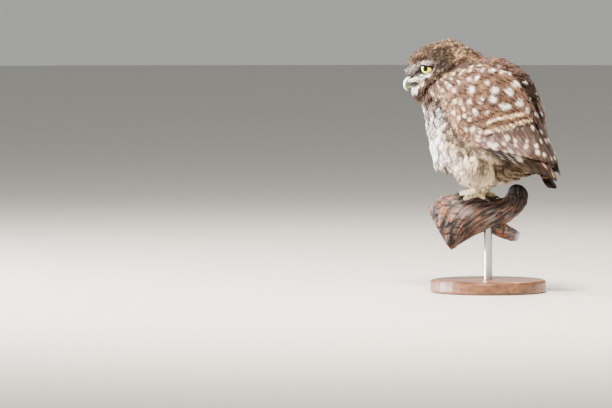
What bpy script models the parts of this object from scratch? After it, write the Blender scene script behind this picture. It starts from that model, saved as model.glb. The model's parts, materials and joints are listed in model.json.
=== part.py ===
"""Little owl: a life-size still model of a young bird, looking over its left shoulder.

It grips a short cut length of gnarled branch, which a rod holds above a round wooden base.
Lengths are in metres, +Z is up, the bird's body faces -Y and its left side is +X. The world's
origin is the centre of the base's underside. The bird and the branch are laid out from the
point of the branch between the two feet, which is the place of the empty called perch_point.
"""

import math
import random

import bmesh
import bpy
from mathutils import Matrix, Vector
from mathutils.bvhtree import BVHTree

# Stand
BASE_RADIUS = 0.055
BASE_HEIGHT = 0.012
BASE_BEVEL = 0.0025
ROD_RADIUS = 0.004
ROD_DEPTH_IN_BASE = 0.008
PERCH_POINT = Vector((0.0, -0.011, 0.092))
GAP = 0.0003
GROWN = 0.00036

# Body sections from the throat to the tip of the folded wings. Each row gives the dorsal point
# (y, z), the ventral point (y, z) and the half width of one elliptical section.
BODY_SECTIONS = (
    (-0.030, 0.123, -0.052, 0.098, 0.018),
    (-0.008, 0.128, -0.0545, 0.084, 0.030),
    (0.015, 0.128, -0.051, 0.066, 0.038),
    (0.036, 0.120, -0.0465, 0.047, 0.041),
    (0.0500, 0.1050, -0.042, 0.030, 0.0415),
    (0.0572, 0.0875, -0.029, 0.022, 0.040),
    (0.0618, 0.0707, -0.006, 0.021, 0.037),
    (0.0675, 0.0557, 0.014, 0.019, 0.0315),
    (0.0730, 0.0440, 0.030, 0.016, 0.025),
    (0.0780, 0.0340, 0.043, 0.016, 0.019),
    (0.082, 0.025, 0.054, 0.014, 0.015),
    (0.084, 0.016, 0.064, 0.009, 0.012),
    (0.087, 0.007, 0.074, 0.003, 0.011),
)
TORSO_END = 9.4
TORSO_ROUNDING = 1.3
TORSO_SIDES = 30
MANTLE_HEIGHT = 0.006
MANTLE_HALF_ANGLE = math.radians(34)

# Neck: two parallel cuts part the head, the neck and the torso
NECK_CUT = Vector((0.0, -0.033, 0.1074))
NECK_AXIS = Vector((0.0, -0.59, 0.807)).normalized()
NECK_LENGTH = 0.0085
# The full collar of feathers, as sections like the body's
COLLAR_SECTIONS = (
    (0.0100, 0.1260, -0.0520, 0.0700, 0.0340),
    (-0.0040, 0.1335, -0.0585, 0.0900, 0.0335),
    (-0.0165, 0.1385, -0.0560, 0.1050, 0.0195),
)
COLLAR_SIDES = 28
COLLAR_STEPS = 4

# Head, in its own frame: forward is -Y, its centre is the origin
HEAD_CENTRE = Vector((0.0, -0.043, 0.1205))
HEAD_YAW = math.radians(50)
HEAD_HALF_WIDTH = 0.033
HEAD_FRONT = 0.0358
HEAD_BACK = 0.031
HEAD_HALF_HEIGHT = 0.0263
HEAD_SLOPE = 0.10
FACE_POWER = 1.4
# Forms of the face, as (across, height, half width, half height, rise): the brow and the cheek
# stand out and the place of the eye is hollow
FACE_FORMS = (
    (0.0125, 0.0095, 0.0060, 0.0035, 0.0018),
    (0.0220, -0.0100, 0.0060, 0.0070, 0.0012),
    (0.0180, 0.0003, 0.0085, 0.0078, -0.0075),
)
THROAT_CENTRE = Vector((0.0, -0.010, -0.022))
THROAT_RADII = (0.017, 0.016, 0.015)
ORBIT_RADIUS = 0.0078
ORBIT_DEPTH = 0.0042
ORBIT_SLOPE = 0.55
EYE_RADIUS = 0.0075
EYE_APEX = Vector((0.0155, -0.0196, 0.0003))
EYE_TURN = math.radians(39)
LID_RADIUS = 0.0088
SOCKET_RADIUS = 0.0079
LID_OPENING = (0.0069, 0.0056)
LID_TOP = 0.0029
LID_LEAN = 0.05


def clear_scene():
    for obj in list(bpy.data.objects):
        bpy.data.objects.remove(obj, do_unlink=True)


def new_collection(name):
    collection = bpy.data.collections.new(name)
    bpy.context.scene.collection.children.link(collection)
    return collection


def material(name, colour, roughness, metallic=0.0):
    made = bpy.data.materials.new(name)
    made.use_nodes = True
    shader = made.node_tree.nodes["Principled BSDF"]
    shader.inputs["Base Color"].default_value = (*colour, 1.0)
    shader.inputs["Roughness"].default_value = roughness
    shader.inputs["Metallic"].default_value = metallic
    made.diffuse_color = (*colour, 1.0)
    return made


def through(rows, place):
    """A smooth curve through the rows: the values at a place such as 2.5, half way from row 2 to 3."""
    last = len(rows) - 1
    index = min(max(math.floor(place), 0), last - 1)
    t = place - index
    before = rows[max(index - 1, 0)]
    here = rows[index]
    there = rows[index + 1]
    after = rows[min(index + 2, last)]
    return [
        a + 0.5 * t * ((b - p) + t * (2 * p - 5 * a + 4 * b - q + t * (3 * (a - b) + q - p)))
        for p, a, b, q in zip(before, here, there, after)
    ]


def ramp(low, high, value):
    t = min(max((value - low) / (high - low), 0.0), 1.0)
    return t * t * (3 - 2 * t)


def section_point(section, angle):
    """A point of an elliptical section. Angle 0 is the middle of the back, 90 degrees the left side."""
    dorsal_y, dorsal_z, ventral_y, ventral_z, half_width = section
    along = math.cos(angle)
    return Vector((
        half_width * math.sin(angle),
        (dorsal_y + ventral_y) / 2 + (dorsal_y - ventral_y) / 2 * along,
        (dorsal_z + ventral_z) / 2 + (dorsal_z - ventral_z) / 2 * along,
    ))


def body_point(place, angle):
    return section_point(through(BODY_SECTIONS, place), angle)


def body_normal(place, angle, step=0.001):
    along = body_point(place + step, angle) - body_point(place - step, angle)
    around = body_point(place, angle + step) - body_point(place, angle - step)
    return around.cross(along).normalized()


def over_body(place, angle, height):
    return body_point(place, angle) + body_normal(place, angle) * height


def object_from(name, bm, collection):
    mesh = bpy.data.meshes.new(name)
    bmesh.ops.recalc_face_normals(bm, faces=bm.faces[:])
    if bm.calc_volume(signed=True) < 0:
        bmesh.ops.reverse_faces(bm, faces=bm.faces[:])
    bm.to_mesh(mesh)
    bm.free()
    obj = bpy.data.objects.new(name, mesh)
    collection.objects.link(obj)
    return obj


def loft(name, rings, collection, start=None, end=None):
    """A closed solid through rings of equal count, each end closed to a point. The quads are split
    by turns, so that the two faces of a thin vane are split alike."""
    bm = bmesh.new()
    loops = [[bm.verts.new(point) for point in ring] for ring in rings]
    for near, far in zip(loops, loops[1:]):
        for index in range(len(near)):
            nxt = (index + 1) % len(near)
            a, b, c, d = near[index], near[nxt], far[nxt], far[index]
            if index % 2 == 0:
                bm.faces.new((a, b, c))
                bm.faces.new((a, c, d))
            else:
                bm.faces.new((a, b, d))
                bm.faces.new((b, c, d))
    for loop, point in ((loops[0], start), (loops[-1], end)):
        middle = sum((vert.co for vert in loop), Vector()) / len(loop)
        apex = bm.verts.new(point if point is not None else middle)
        for index in range(len(loop)):
            bm.faces.new((loop[index], loop[(index + 1) % len(loop)], apex))
    return object_from(name, bm, collection)


def ball(name, centre, radii, segments, rings, collection, turn=None):
    bm = bmesh.new()
    bmesh.ops.create_uvsphere(bm, u_segments=segments, v_segments=rings, radius=1.0)
    matrix = Matrix.Translation(centre) @ (turn or Matrix()) @ Matrix.Diagonal((*radii, 1.0))
    bm.transform(matrix)
    bmesh.ops.triangulate(bm, faces=bm.faces[:])
    return object_from(name, bm, collection)


def rod(name, start, end, radius, sides, collection):
    bm = bmesh.new()
    axis = end - start
    bmesh.ops.create_cone(
        bm, cap_ends=True, segments=sides, radius1=radius, radius2=radius, depth=axis.length
    )
    turn = axis.to_track_quat("Z", "Y").to_matrix().to_4x4()
    bm.transform(Matrix.Translation((start + end) / 2) @ turn)
    return object_from(name, bm, collection)


def apply_modifiers(obj):
    bpy.context.view_layer.update()
    graph = bpy.context.evaluated_depsgraph_get()
    mesh = bpy.data.meshes.new_from_object(obj.evaluated_get(graph))
    old = obj.data
    obj.modifiers.clear()
    obj.data = mesh
    bpy.data.meshes.remove(old)


def tidy_mesh(obj):
    """Triangles only, with points closer than a hundredth of a millimetre drawn together."""
    bm = bmesh.new()
    bm.from_mesh(obj.data)
    bmesh.ops.remove_doubles(bm, verts=bm.verts[:], dist=0.000005)
    bmesh.ops.dissolve_degenerate(bm, edges=bm.edges[:], dist=0.000005)
    bmesh.ops.triangulate(bm, faces=bm.faces[:])
    bm.to_mesh(obj.data)
    bm.free()


def keep_largest(obj):
    """Only the largest closed surface stays: sealed hollows and loose scraps go."""
    bm = bmesh.new()
    bm.from_mesh(obj.data)
    left = set(bm.faces)
    shells = []
    while left:
        shell = [left.pop()]
        for face in shell:
            for edge in face.edges:
                for other in edge.link_faces:
                    if other in left:
                        left.remove(other)
                        shell.append(other)
        shells.append(shell)
    shells.sort(key=len, reverse=True)
    for shell in shells[1:]:
        bmesh.ops.delete(bm, geom=shell, context="FACES")
    bm.to_mesh(obj.data)
    bm.free()


def unite(obj, others, solver="EXACT"):
    """One Boolean union of the object with all the others, which are then removed."""
    group = bpy.data.collections.new(obj.name + "_pieces")
    bpy.context.scene.collection.children.link(group)
    for other in others:
        for owner in list(other.users_collection):
            owner.objects.unlink(other)
        group.objects.link(other)
    union = obj.modifiers.new("union", "BOOLEAN")
    union.operation = "UNION"
    union.operand_type = "COLLECTION"
    union.collection = group
    union.solver = solver
    apply_modifiers(obj)
    for other in others:
        bpy.data.objects.remove(other, do_unlink=True)
    bpy.data.collections.remove(group)
    tidy_mesh(obj)
    keep_largest(obj)


def grown(obj, distance):
    """A helper the same shape as the object, with its surface moved out by the distance."""
    bm = bmesh.new()
    bm.from_mesh(obj.data)
    bm.normal_update()
    places = [vert.co + vert.normal * distance * vert.calc_shell_factor() for vert in bm.verts]
    for vert, place in zip(bm.verts, places):
        vert.co = place
    helper = object_from(obj.name + "_grown", bm, CUTTERS)
    helper.hide_render = True
    helper.display_type = "WIRE"
    return helper


def cut(obj, cutters, solver="EXACT"):
    for cutter in cutters:
        cutter.hide_render = True
        cutter.display_type = "WIRE"
        difference = obj.modifiers.new("cut", "BOOLEAN")
        difference.operation = "DIFFERENCE"
        difference.object = cutter
        difference.solver = solver
        apply_modifiers(obj)
    tidy_mesh(obj)
    keep_largest(obj)


def copy_of(obj, name):
    twin = obj.copy()
    twin.data = obj.data.copy()
    twin.name = name
    PARTS.objects.link(twin)
    return twin


def keep_side(obj, point, direction):
    """Cuts the object by a plane and keeps what lies on the side of the direction, with a cap."""
    bm = bmesh.new()
    bm.from_mesh(obj.data)
    cut_made = bmesh.ops.bisect_plane(
        bm,
        geom=bm.verts[:] + bm.edges[:] + bm.faces[:],
        plane_co=point,
        plane_no=direction,
        clear_inner=True,
    )
    rim = [item for item in cut_made["geom_cut"] if isinstance(item, bmesh.types.BMEdge)]
    bmesh.ops.holes_fill(bm, edges=[edge for edge in rim if edge.is_valid])
    bmesh.ops.triangulate(bm, faces=bm.faces[:])
    bmesh.ops.recalc_face_normals(bm, faces=bm.faces[:])
    bm.to_mesh(obj.data)
    bm.free()
    tidy_mesh(obj)
    keep_largest(obj)


def mirrored(obj, name):
    """A copy on the other side of the bird's middle plane."""
    twin = copy_of(obj, name)
    bm = bmesh.new()
    bm.from_mesh(twin.data)
    bm.transform(Matrix.Diagonal((-1.0, 1.0, 1.0, 1.0)))
    bmesh.ops.reverse_faces(bm, faces=bm.faces[:])
    bm.to_mesh(twin.data)
    bm.free()
    return twin


def make_torso():
    """The loft of the body's sections, raised along the back where the mantle feathers lie."""
    rings = []
    stations = 17
    for row in range(stations + 1):
        place = TORSO_END * row / stations
        rounding = max(place - (TORSO_END - TORSO_ROUNDING), 0.0) / (TORSO_ROUNDING * 1.04)
        shrink = math.sqrt(1 - rounding * rounding)
        middle = (body_point(place, 0.0) + body_point(place, math.pi)) / 2
        ring = []
        for side in range(TORSO_SIDES):
            angle = 2 * math.pi * side / TORSO_SIDES
            from_back = min(angle, 2 * math.pi - angle)
            mantle = MANTLE_HEIGHT * ramp(1.2, 4.0, place) * (1 - ramp(4.3, 5.8, place))
            mantle *= 1 - ramp(0.25 * MANTLE_HALF_ANGLE, MANTLE_HALF_ANGLE, from_back)
            point = over_body(place, angle, mantle)
            ring.append(middle + (point - middle) * shrink)
        rings.append(ring)
    return loft("torso", rings, PARTS)


def face_frame():
    return Matrix.Translation(HEAD_CENTRE) @ Matrix.Rotation(HEAD_YAW, 4, "Z")


def eye_axis(side):
    return Vector((side * math.sin(EYE_TURN), -math.cos(EYE_TURN), 0.0))


def eye_centre(side):
    apex = Vector((side * EYE_APEX.x, EYE_APEX.y, EYE_APEX.z))
    return apex - eye_axis(side) * EYE_RADIUS


def head_shape(direction):
    """The point of the head's surface in a direction of the unit sphere, in the head's frame."""
    ahead = max(-direction.y, 0.0)
    out = max(1 - ahead * ahead, 0.0) ** (FACE_POWER / 2)
    narrower = (ahead ** FACE_POWER + out) ** (-1 / FACE_POWER)
    x = HEAD_HALF_WIDTH * direction.x * narrower
    forward = HEAD_FRONT * ahead * narrower if direction.y < 0 else -HEAD_BACK * direction.y
    z = HEAD_HALF_HEIGHT * direction.z * narrower
    z *= 1 - HEAD_SLOPE * forward / HEAD_FRONT * ramp(0.0, 0.4, direction.z)
    front = ramp(0.0, 0.5, ahead)
    for side in (-1, 1):
        for form_x, form_z, half_width, half_height, rise in FACE_FORMS:
            across = (x - side * form_x) / half_width
            height = (z - form_z) / half_height
            forward += front * rise * math.exp(-0.5 * (across * across + height * height))
    point = Vector((x, -forward, z))
    for side in (-1, 1):
        offset = point - eye_centre(side)
        height = offset.dot(eye_axis(side))
        away = (offset - eye_axis(side) * height).length
        limit = ORBIT_DEPTH + ORBIT_SLOPE * max(away - ORBIT_RADIUS, 0.0)
        if height > limit:
            point -= eye_axis(side) * (height - limit)
    return point


def make_head():
    bm = bmesh.new()
    bmesh.ops.create_uvsphere(bm, u_segments=30, v_segments=20, radius=1.0)
    bm.transform(Matrix.Rotation(math.radians(90), 4, "X"))
    for vert in bm.verts:
        vert.co = head_shape(vert.co)
    bm.transform(face_frame())
    bmesh.ops.triangulate(bm, faces=bm.faces[:])
    return object_from("head", bm, PARTS)


def make_throat():
    """The loose feathers under the chin."""
    turn = Matrix.Rotation(HEAD_YAW, 4, "Z")
    return ball("throat", face_frame() @ THROAT_CENTRE, THROAT_RADII, 20, 12, PARTS, turn)


def make_collar():
    """The full neck, from a section of the torso to one inside the head."""
    rings = []
    for step in range(COLLAR_STEPS + 1):
        row = through(COLLAR_SECTIONS, (len(COLLAR_SECTIONS) - 1) * step / COLLAR_STEPS)
        turns = (2 * math.pi * side / COLLAR_SIDES for side in range(COLLAR_SIDES))
        rings.append([section_point(row, angle) for angle in turns])
    return loft("collar", rings, PARTS)


def lid_cutter(side):
    """The opening between the lids: an oval whose top is cut straight, lower towards the bill."""
    bm = bmesh.new()
    bmesh.ops.create_cone(bm, cap_ends=True, segments=20, radius1=1.0, radius2=1.0, depth=0.014)
    bm.transform(Matrix.Diagonal((LID_OPENING[0], LID_OPENING[1], 1.0, 1.0)))
    made = bmesh.ops.bisect_plane(
        bm,
        geom=bm.verts[:] + bm.edges[:] + bm.faces[:],
        plane_co=Vector((0.0, LID_TOP, 0.0)),
        plane_no=Vector((-side * LID_LEAN, 1.0, 0.0)).normalized(),
        clear_outer=True,
    )
    rim = [item for item in made["geom_cut"] if isinstance(item, bmesh.types.BMEdge)]
    bmesh.ops.holes_fill(bm, edges=rim)
    bmesh.ops.triangulate(bm, faces=bm.faces[:])
    axis = eye_axis(side)
    up = Vector((0.0, 0.0, 1.0))
    across = up.cross(axis)
    turn = Matrix((across, up, axis)).transposed().to_4x4()
    centre = eye_centre(side) + axis * 0.010
    bm.transform(face_frame() @ Matrix.Translation(centre) @ turn)
    return object_from("lid_opening", bm, CUTTERS)


def make_eyes(head):
    """Lids raised round each eye, a socket behind them, and the eyeball in it."""
    lids = []
    for side in (1, -1):
        centre = face_frame() @ eye_centre(side)
        lids.append(ball("lid", centre, (LID_RADIUS,) * 3, 16, 12, PARTS))
    unite(head, lids)
    cutters = []
    for side in (1, -1):
        centre = face_frame() @ eye_centre(side)
        cutters.append(ball("socket", centre, (SOCKET_RADIUS,) * 3, 14, 10, CUTTERS))
        cutters.append(lid_cutter(side))
    cut(head, cutters)
    eyes = []
    for side, name in ((1, "eye_left"), (-1, "eye_right")):
        centre = face_frame() @ eye_centre(side)
        turn = (face_frame().to_3x3() @ eye_axis(side)).to_track_quat("Z", "Y").to_matrix().to_4x4()
        eyes.append(ball(name, centre, (EYE_RADIUS,) * 3, 16, 10, PARTS, turn))
    return eyes


# Bill, in the head's frame: forward, height, half width and half height of each section
UPPER_BILL = (
    (0.0265, -0.0112, 0.0043, 0.0046),
    (0.0310, -0.0116, 0.0040, 0.0044),
    (0.0336, -0.0140, 0.0032, 0.0036),
    (0.0343, -0.0176, 0.0021, 0.0024),
    (0.0337, -0.0203, 0.0011, 0.0013),
)
UPPER_BILL_TIP = (0.0330, -0.0223)
LOWER_BILL = (
    (0.0170, -0.0172, 0.0040, 0.0030),
    (0.0250, -0.0176, 0.0037, 0.0029),
    (0.0290, -0.0177, 0.0032, 0.0030),
    (0.0314, -0.0181, 0.0022, 0.0024),
)
LOWER_BILL_TIP = (0.0322, -0.0203)
NOSTRIL = Vector((0.0030, -0.0313, -0.0094))
NOSTRIL_RADIUS = 0.0010


def make_bill_half(name, sections, tip, sides):
    ends = [Vector((0.0, -row[0], row[1])) for row in sections]
    ends.append(Vector((0.0, -tip[0], tip[1])))
    rings = []
    for index, (forward, height, half_width, half_height) in enumerate(sections):
        here = Vector((0.0, -forward, height))
        along = (ends[index + 1] - ends[max(index - 1, 0)]).normalized()
        over = Vector((1.0, 0.0, 0.0)).cross(along)
        ring = []
        for side in range(sides):
            angle = 2 * math.pi * side / sides
            out = Vector((half_width * math.sin(angle), 0.0, 0.0))
            ring.append(here + out + over * half_height * math.cos(angle))
        rings.append(ring)
    rings = [[face_frame() @ point for point in ring] for ring in rings]
    return loft(name, rings, PARTS, end=face_frame() @ ends[-1])


def make_bill(head):
    upper = make_bill_half("bill_upper", UPPER_BILL, UPPER_BILL_TIP, 12)
    nostrils = [
        ball("nostril", face_frame() @ Vector((side * NOSTRIL.x, NOSTRIL.y, NOSTRIL.z)),
             (NOSTRIL_RADIUS,) * 3, 8, 6, CUTTERS)
        for side in (-1, 1)
    ]
    face = grown(head, GROWN)
    cut(upper, [face] + nostrils)
    lower = make_bill_half("bill_lower", LOWER_BILL, LOWER_BILL_TIP, 10)
    cut(lower, [face, grown(upper, GROWN)])
    return upper, lower


# Branch, in its own frame turned by PERCH_TURN: along, across (away from the near side), height
# and radius of its centre line at each place
PERCH_TURN = math.radians(120)
PERCH_LINE = (
    (-0.0360, 0.0000, -0.0330, 0.0225),
    (-0.0240, -0.0010, -0.0265, 0.0217),
    (-0.0080, -0.0030, -0.0202, 0.0192),
    (0.0080, -0.0040, -0.0170, 0.0160),
    (0.0220, -0.0030, -0.0148, 0.0123),
    (0.0315, -0.0015, -0.0100, 0.0107),
    (0.0370, 0.0000, -0.0030, 0.0103),
    (0.0385, 0.0010, 0.0035, 0.0092),
)
PERCH_SIDES = 24
PERCH_STATIONS = 18
STUB_LINE = (
    (0.0110, -0.0025, -0.0240, 0.0085),
    (0.0210, -0.0035, -0.0320, 0.0075),
    (0.0300, -0.0030, -0.0365, 0.0064),
    (0.0380, -0.0015, -0.0395, 0.0050),
)


def branch_rings(line, stations, sides, ridge, seed, knobs=()):
    """Rings square to a centre line, with ridges that twist along it."""
    draw = random.Random(seed)
    phases = [draw.uniform(0, 2 * math.pi) for _ in range(4)]
    last = len(line) - 1
    rings = []
    for step in range(stations + 1):
        place = last * step / stations
        x, y, z, radius = through(line, place)
        here = Vector((x, y, z))
        back = Vector(through(line, max(place - 0.1, 0.0))[:3])
        ahead = Vector(through(line, min(place + 0.1, last))[:3])
        along = (ahead - back).normalized()
        across = Vector((0.0, 1.0, 0.0))
        over = across.cross(along) * -1
        if over.z < 0:
            over.negate()
        across = along.cross(over)
        ring = []
        for side in range(sides):
            angle = 2 * math.pi * side / sides
            wave = 0.45 * math.sin(3 * angle + 0.9 * place + phases[0])
            wave += 0.35 * math.sin(5 * angle - 0.7 * place + phases[1])
            wave += 0.25 * math.sin(8 * angle + 1.6 * place + phases[2])
            size = radius * (1 + ridge * wave)
            for knob_place, knob_angle, knob_height, knob_length, knob_width in knobs:
                turned = math.remainder(angle - knob_angle, 2 * math.pi) / knob_width
                away = (place - knob_place) / knob_length
                size += knob_height * math.exp(-0.5 * (turned * turned + away * away))
            ring.append(here + (over * math.cos(angle) + across * math.sin(angle)) * size)
        rings.append(ring)
    return rings


PERCH_KNOBS = (
    (0.9, 0.35, 0.0055, 0.42, 0.45),
    (1.5, -0.10, 0.0030, 0.30, 0.40),
    (0.4, -0.80, 0.0045, 0.40, 0.40),
    (3.0, 1.70, 0.0020, 0.50, 0.35),
)


def make_perch():
    """The branch and its side stub, a knob of broken bark at its thick end and a rounded tip."""
    turn = Matrix.Rotation(PERCH_TURN, 4, "Z")
    rings = branch_rings(PERCH_LINE, PERCH_STATIONS, PERCH_SIDES, 0.055, 3, PERCH_KNOBS)
    end = Vector(PERCH_LINE[-1][:3])
    tip_radius = PERCH_LINE[-1][3]
    tip = []
    for share, rise in ((0.80, 0.35), (0.45, 0.62)):
        up = Vector((0.0, 0.0, tip_radius * rise))
        tip.append([end + (point - end) * share + up for point in rings[-1]])
    rings += tip
    top = end + Vector((0.0, 0.0, tip_radius * 0.70))
    rings = [[turn @ point for point in ring] for ring in rings]
    branch = loft("stand_perch", rings, PARTS, end=turn @ top)
    stub = branch_rings(STUB_LINE, 7, 12, 0.06, 5)
    stub = loft("stub", [[turn @ point for point in ring] for ring in stub], PARTS)
    unite(branch, [stub])
    return branch


ROD_TOP = -0.0200


def make_stand(perch):
    """A turned wooden base and the rod, each end of which stands in a blind hole."""
    foot = -PERCH_POINT
    bm = bmesh.new()
    bmesh.ops.create_cone(
        bm, cap_ends=True, segments=40, radius1=BASE_RADIUS, radius2=BASE_RADIUS, depth=BASE_HEIGHT
    )
    bm.transform(Matrix.Translation(foot + Vector((0.0, 0.0, BASE_HEIGHT / 2))))
    base = object_from("stand_base", bm, PARTS)
    rim = base.modifiers.new("rounded_rim", "BEVEL")
    rim.width = BASE_BEVEL
    rim.segments = 2
    rim.limit_method = "ANGLE"
    apply_modifiers(base)
    low = foot + Vector((0.0, 0.0, BASE_HEIGHT - ROD_DEPTH_IN_BASE))
    high = Vector((foot.x, foot.y, ROD_TOP))
    up = Vector((0.0, 0.0, GAP))
    over_base = low + Vector((0.0, 0.0, 2 * BASE_HEIGHT))
    hole = rod("rod_hole_base", low - up, over_base, ROD_RADIUS + GAP, 24, CUTTERS)
    cut(base, [hole])
    socket = rod("rod_hole_perch", low, high + up, ROD_RADIUS + GAP, 24, CUTTERS)
    cut(perch, [socket])
    post = rod("stand_rod", low, high, ROD_RADIUS, 24, PARTS)
    return base, post


# Feathers: the width along a vane, as (share of its length, share of its width)
LONG_VANE = ((0.0, 0.45), (0.35, 0.80), (0.70, 1.0), (0.93, 0.72))
SHORT_VANE = ((0.0, 0.50), (0.55, 1.0), (0.88, 0.80))
VANE_THICKNESS = 0.00105


def make_vane(name, spine, overs, width, profile, roll):
    """One feather: a tapered vane of diamond section along a spine of points, one for each place of
    the profile and one for the tip. The roll, about the spine, lifts one edge over the next vane."""
    rings = []
    for index, (_, share) in enumerate(profile):
        here = spine[index]
        along = (spine[index + 1] - spine[max(index - 1, 0)]).normalized()
        across = overs[index].cross(along).normalized()
        across = Matrix.Rotation(roll, 3, along) @ across
        over = along.cross(across)
        half = width / 2 * share
        thick = VANE_THICKNESS / 2 * (1.0 if index < len(profile) - 1 else 0.8)
        rings.append([here - across * half, here + over * thick, here + across * half, here - over * thick])
    return loft(name, rings, PARTS, end=spine[-1])


# Tail: twelve feathers in a closed fan, the middle pair on top
TAIL_ROOT = Vector((0.0, 0.0600, 0.0405))
TAIL_TIP = Vector((0.0, 0.0845, 0.0085))
TAIL_PAIRS = 6
TAIL_SPREAD = (0.0042, 0.0072)
TAIL_STEP = 0.00038
TAIL_BEND = 18.0
RECTRIX_WIDTH = 0.0078
RUMP_RADII = (0.0062, 0.0038, 0.0100)


def make_tail():
    """Six pairs, each a little lower and further out than the one over it, on a short root."""
    along = (TAIL_TIP - TAIL_ROOT).normalized()
    over = Vector((1.0, 0.0, 0.0)).cross(along).normalized()
    if over.y < 0:
        over.negate()
    length = (TAIL_TIP - TAIL_ROOT).length
    draw = random.Random(11)
    vanes = []
    for pair in range(TAIL_PAIRS):
        out = (pair + 0.35) / TAIL_PAIRS
        for side in (-1, 1):
            reach = length * (1 - 0.07 * out * out + draw.uniform(-0.012, 0.012))
            spine = []
            for share in [place for place, _ in LONG_VANE] + [1.0]:
                x = side * out * (TAIL_SPREAD[0] + (TAIL_SPREAD[1] - TAIL_SPREAD[0]) * share)
                drop = TAIL_STEP * pair + TAIL_BEND * x * x + (0.0002 if side < 0 else 0.0)
                spine.append(TAIL_ROOT + along * reach * share + Vector((x, 0.0, 0.0)) - over * drop)
            roll = math.radians(7) * side
            overs = [over] * len(spine)
            vanes.append(make_vane("rectrix", spine, overs, RECTRIX_WIDTH, LONG_VANE, roll))
    root = ball("tail", TAIL_ROOT + along * 0.004 - over * 0.0012, RUMP_RADII, 14, 8, PARTS)
    unite(root, vanes)
    return root


# Wing: the edge of the folded wing on the body, as (place, angle of the dorsal edge, angle of the
# ventral edge, height of the outer face)
WING_ROWS = (
    (1.75, 52, 86, 0.0008),
    (2.5, 32, 98, 0.0018),
    (3.5, 16, 95, 0.0026),
    (4.5, 5, 91, 0.0032),
    (5.5, 1, 89, 0.0034),
    (6.5, 1, 85, 0.0032),
    (7.5, 1, 78, 0.0028),
    (8.5, 2, 70, 0.0020),
    (9.4, 4, 62, 0.0012),
)
WING_EDGE = 0.0013


def core_height(place):
    """The height of the wing's core over the body, at a place along it."""
    rows = WING_ROWS
    for near, far in zip(rows, rows[1:]):
        if place <= far[0]:
            share = max((place - near[0]) / (far[0] - near[0]), 0.0)
            return WING_EDGE + near[3] + (far[3] - near[3]) * share
    return WING_EDGE + rows[-1][3] * max(1 - 0.4 * (place - rows[-1][0]), 0.0)


def make_wing_core(name):
    rings = []
    steps = 12
    last = len(WING_ROWS) - 1
    for step in range(steps + 1):
        place, low, high, height = through(WING_ROWS, last * step / steps)
        ring = []
        outer = 7
        for index in range(outer):
            share = index / (outer - 1)
            angle = math.radians(low + (high - low) * share)
            edge = 1 - abs(2 * share - 1) ** 4
            ring.append(over_body(place, angle, WING_EDGE + height * edge))
        inner = 5
        for index in range(inner):
            share = 1 - index / (inner - 1)
            angle = math.radians(low + (high - low) * share)
            ring.append(over_body(place, angle, -0.0012))
        rings.append(ring)
    return loft(name, rings, PARTS)


# Tiers of the wing from the lowest, each as: name, count, root (place, angle) of the first and the
# last feather, tip (place, angle) of the first and the last, width, sinking of the root into the
# core, height of the tip over the core, and the vane's profile. The first is nearest the belly.
WING_TIERS = (
    ("primary", 6, (5.7, 88), (6.3, 80), (9.9, 57), (10.8, 34), 0.0076, 0.0012, 0.0004, LONG_VANE),
    ("secondary", 8, (4.9, 82), (5.3, 18), (7.3, 70), (9.6, 10), 0.0088, 0.0012, 0.0018, LONG_VANE),
    ("primary_covert", 3, (5.0, 90), (5.3, 82), (6.9, 83), (7.2, 73), 0.0066, 0.0012, 0.0016, SHORT_VANE),
    ("greater_covert", 7, (4.0, 84), (4.4, 18), (5.35, 77), (5.95, 15), 0.0092, 0.0012, 0.0022, SHORT_VANE),
    ("alula", 2, (4.2, 93), (4.4, 89), (5.9, 89), (5.7, 85), 0.0054, 0.0010, 0.0018, SHORT_VANE),
    ("median_covert", 6, (3.5, 86), (3.9, 28), (4.80, 77), (5.35, 24), 0.0094, 0.0012, 0.0026, SHORT_VANE),
    ("lesser_covert", 5, (2.8, 91), (3.1, 44), (4.05, 85), (4.35, 42), 0.0094, 0.0012, 0.0026, SHORT_VANE),
    ("shoulder_covert", 4, (2.1, 87), (2.3, 54), (3.30, 89), (3.45, 50), 0.0090, 0.0012, 0.0020, SHORT_VANE),
    ("lower_scapular", 3, (3.7, 44), (4.0, 16), (5.15, 38), (5.5, 11), 0.0104, 0.0012, 0.0028, SHORT_VANE),
    ("middle_scapular", 4, (2.9, 54), (3.2, 20), (4.30, 50), (4.65, 15), 0.0102, 0.0012, 0.0028, SHORT_VANE),
    ("upper_scapular", 4, (2.1, 62), (2.4, 30), (3.45, 56), (3.75, 23), 0.0098, 0.0012, 0.0022, SHORT_VANE),
)
WING_ROLL = math.radians(8)
# Heights of the root and the tip of the lowest and of the highest primary, over the body
PRIMARY_LOW = (0.0014, 0.0012)
PRIMARY_HIGH = (0.0023, 0.0034)


def between(first, last, share):
    return [a + (b - a) * share for a, b in zip(first, last)]


def make_wing_feathers(seed):
    """Every tier of the left wing, laid over the body from each feather's root to its tip."""
    draw = random.Random(seed)
    vanes = []
    for name, count, root_a, root_b, tip_a, tip_b, width, sink, lift, profile in WING_TIERS:
        for index in range(count):
            share = index / max(count - 1, 1)
            root = between(root_a, root_b, share)
            tip = between(tip_a, tip_b, share)
            tip[0] += draw.uniform(-0.05, 0.05)
            tip[1] += draw.uniform(-0.8, 0.8)
            low = core_height(root[0]) - sink
            high = core_height(tip[0]) + lift
            if name == "primary":
                low = between(PRIMARY_LOW, PRIMARY_HIGH, share)[0]
                high = between(PRIMARY_LOW, PRIMARY_HIGH, share)[1]
            spine = []
            overs = []
            for t in [place for place, _ in profile] + [1.0]:
                place, degrees = between(root, tip, t)
                angle = math.radians(degrees)
                spine.append(over_body(place, angle, low + (high - low) * t))
                overs.append(body_normal(place, angle))
            own_width = width * draw.uniform(0.95, 1.05)
            vanes.append(make_vane(name, spine, overs, own_width, profile, WING_ROLL))
    return vanes


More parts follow.
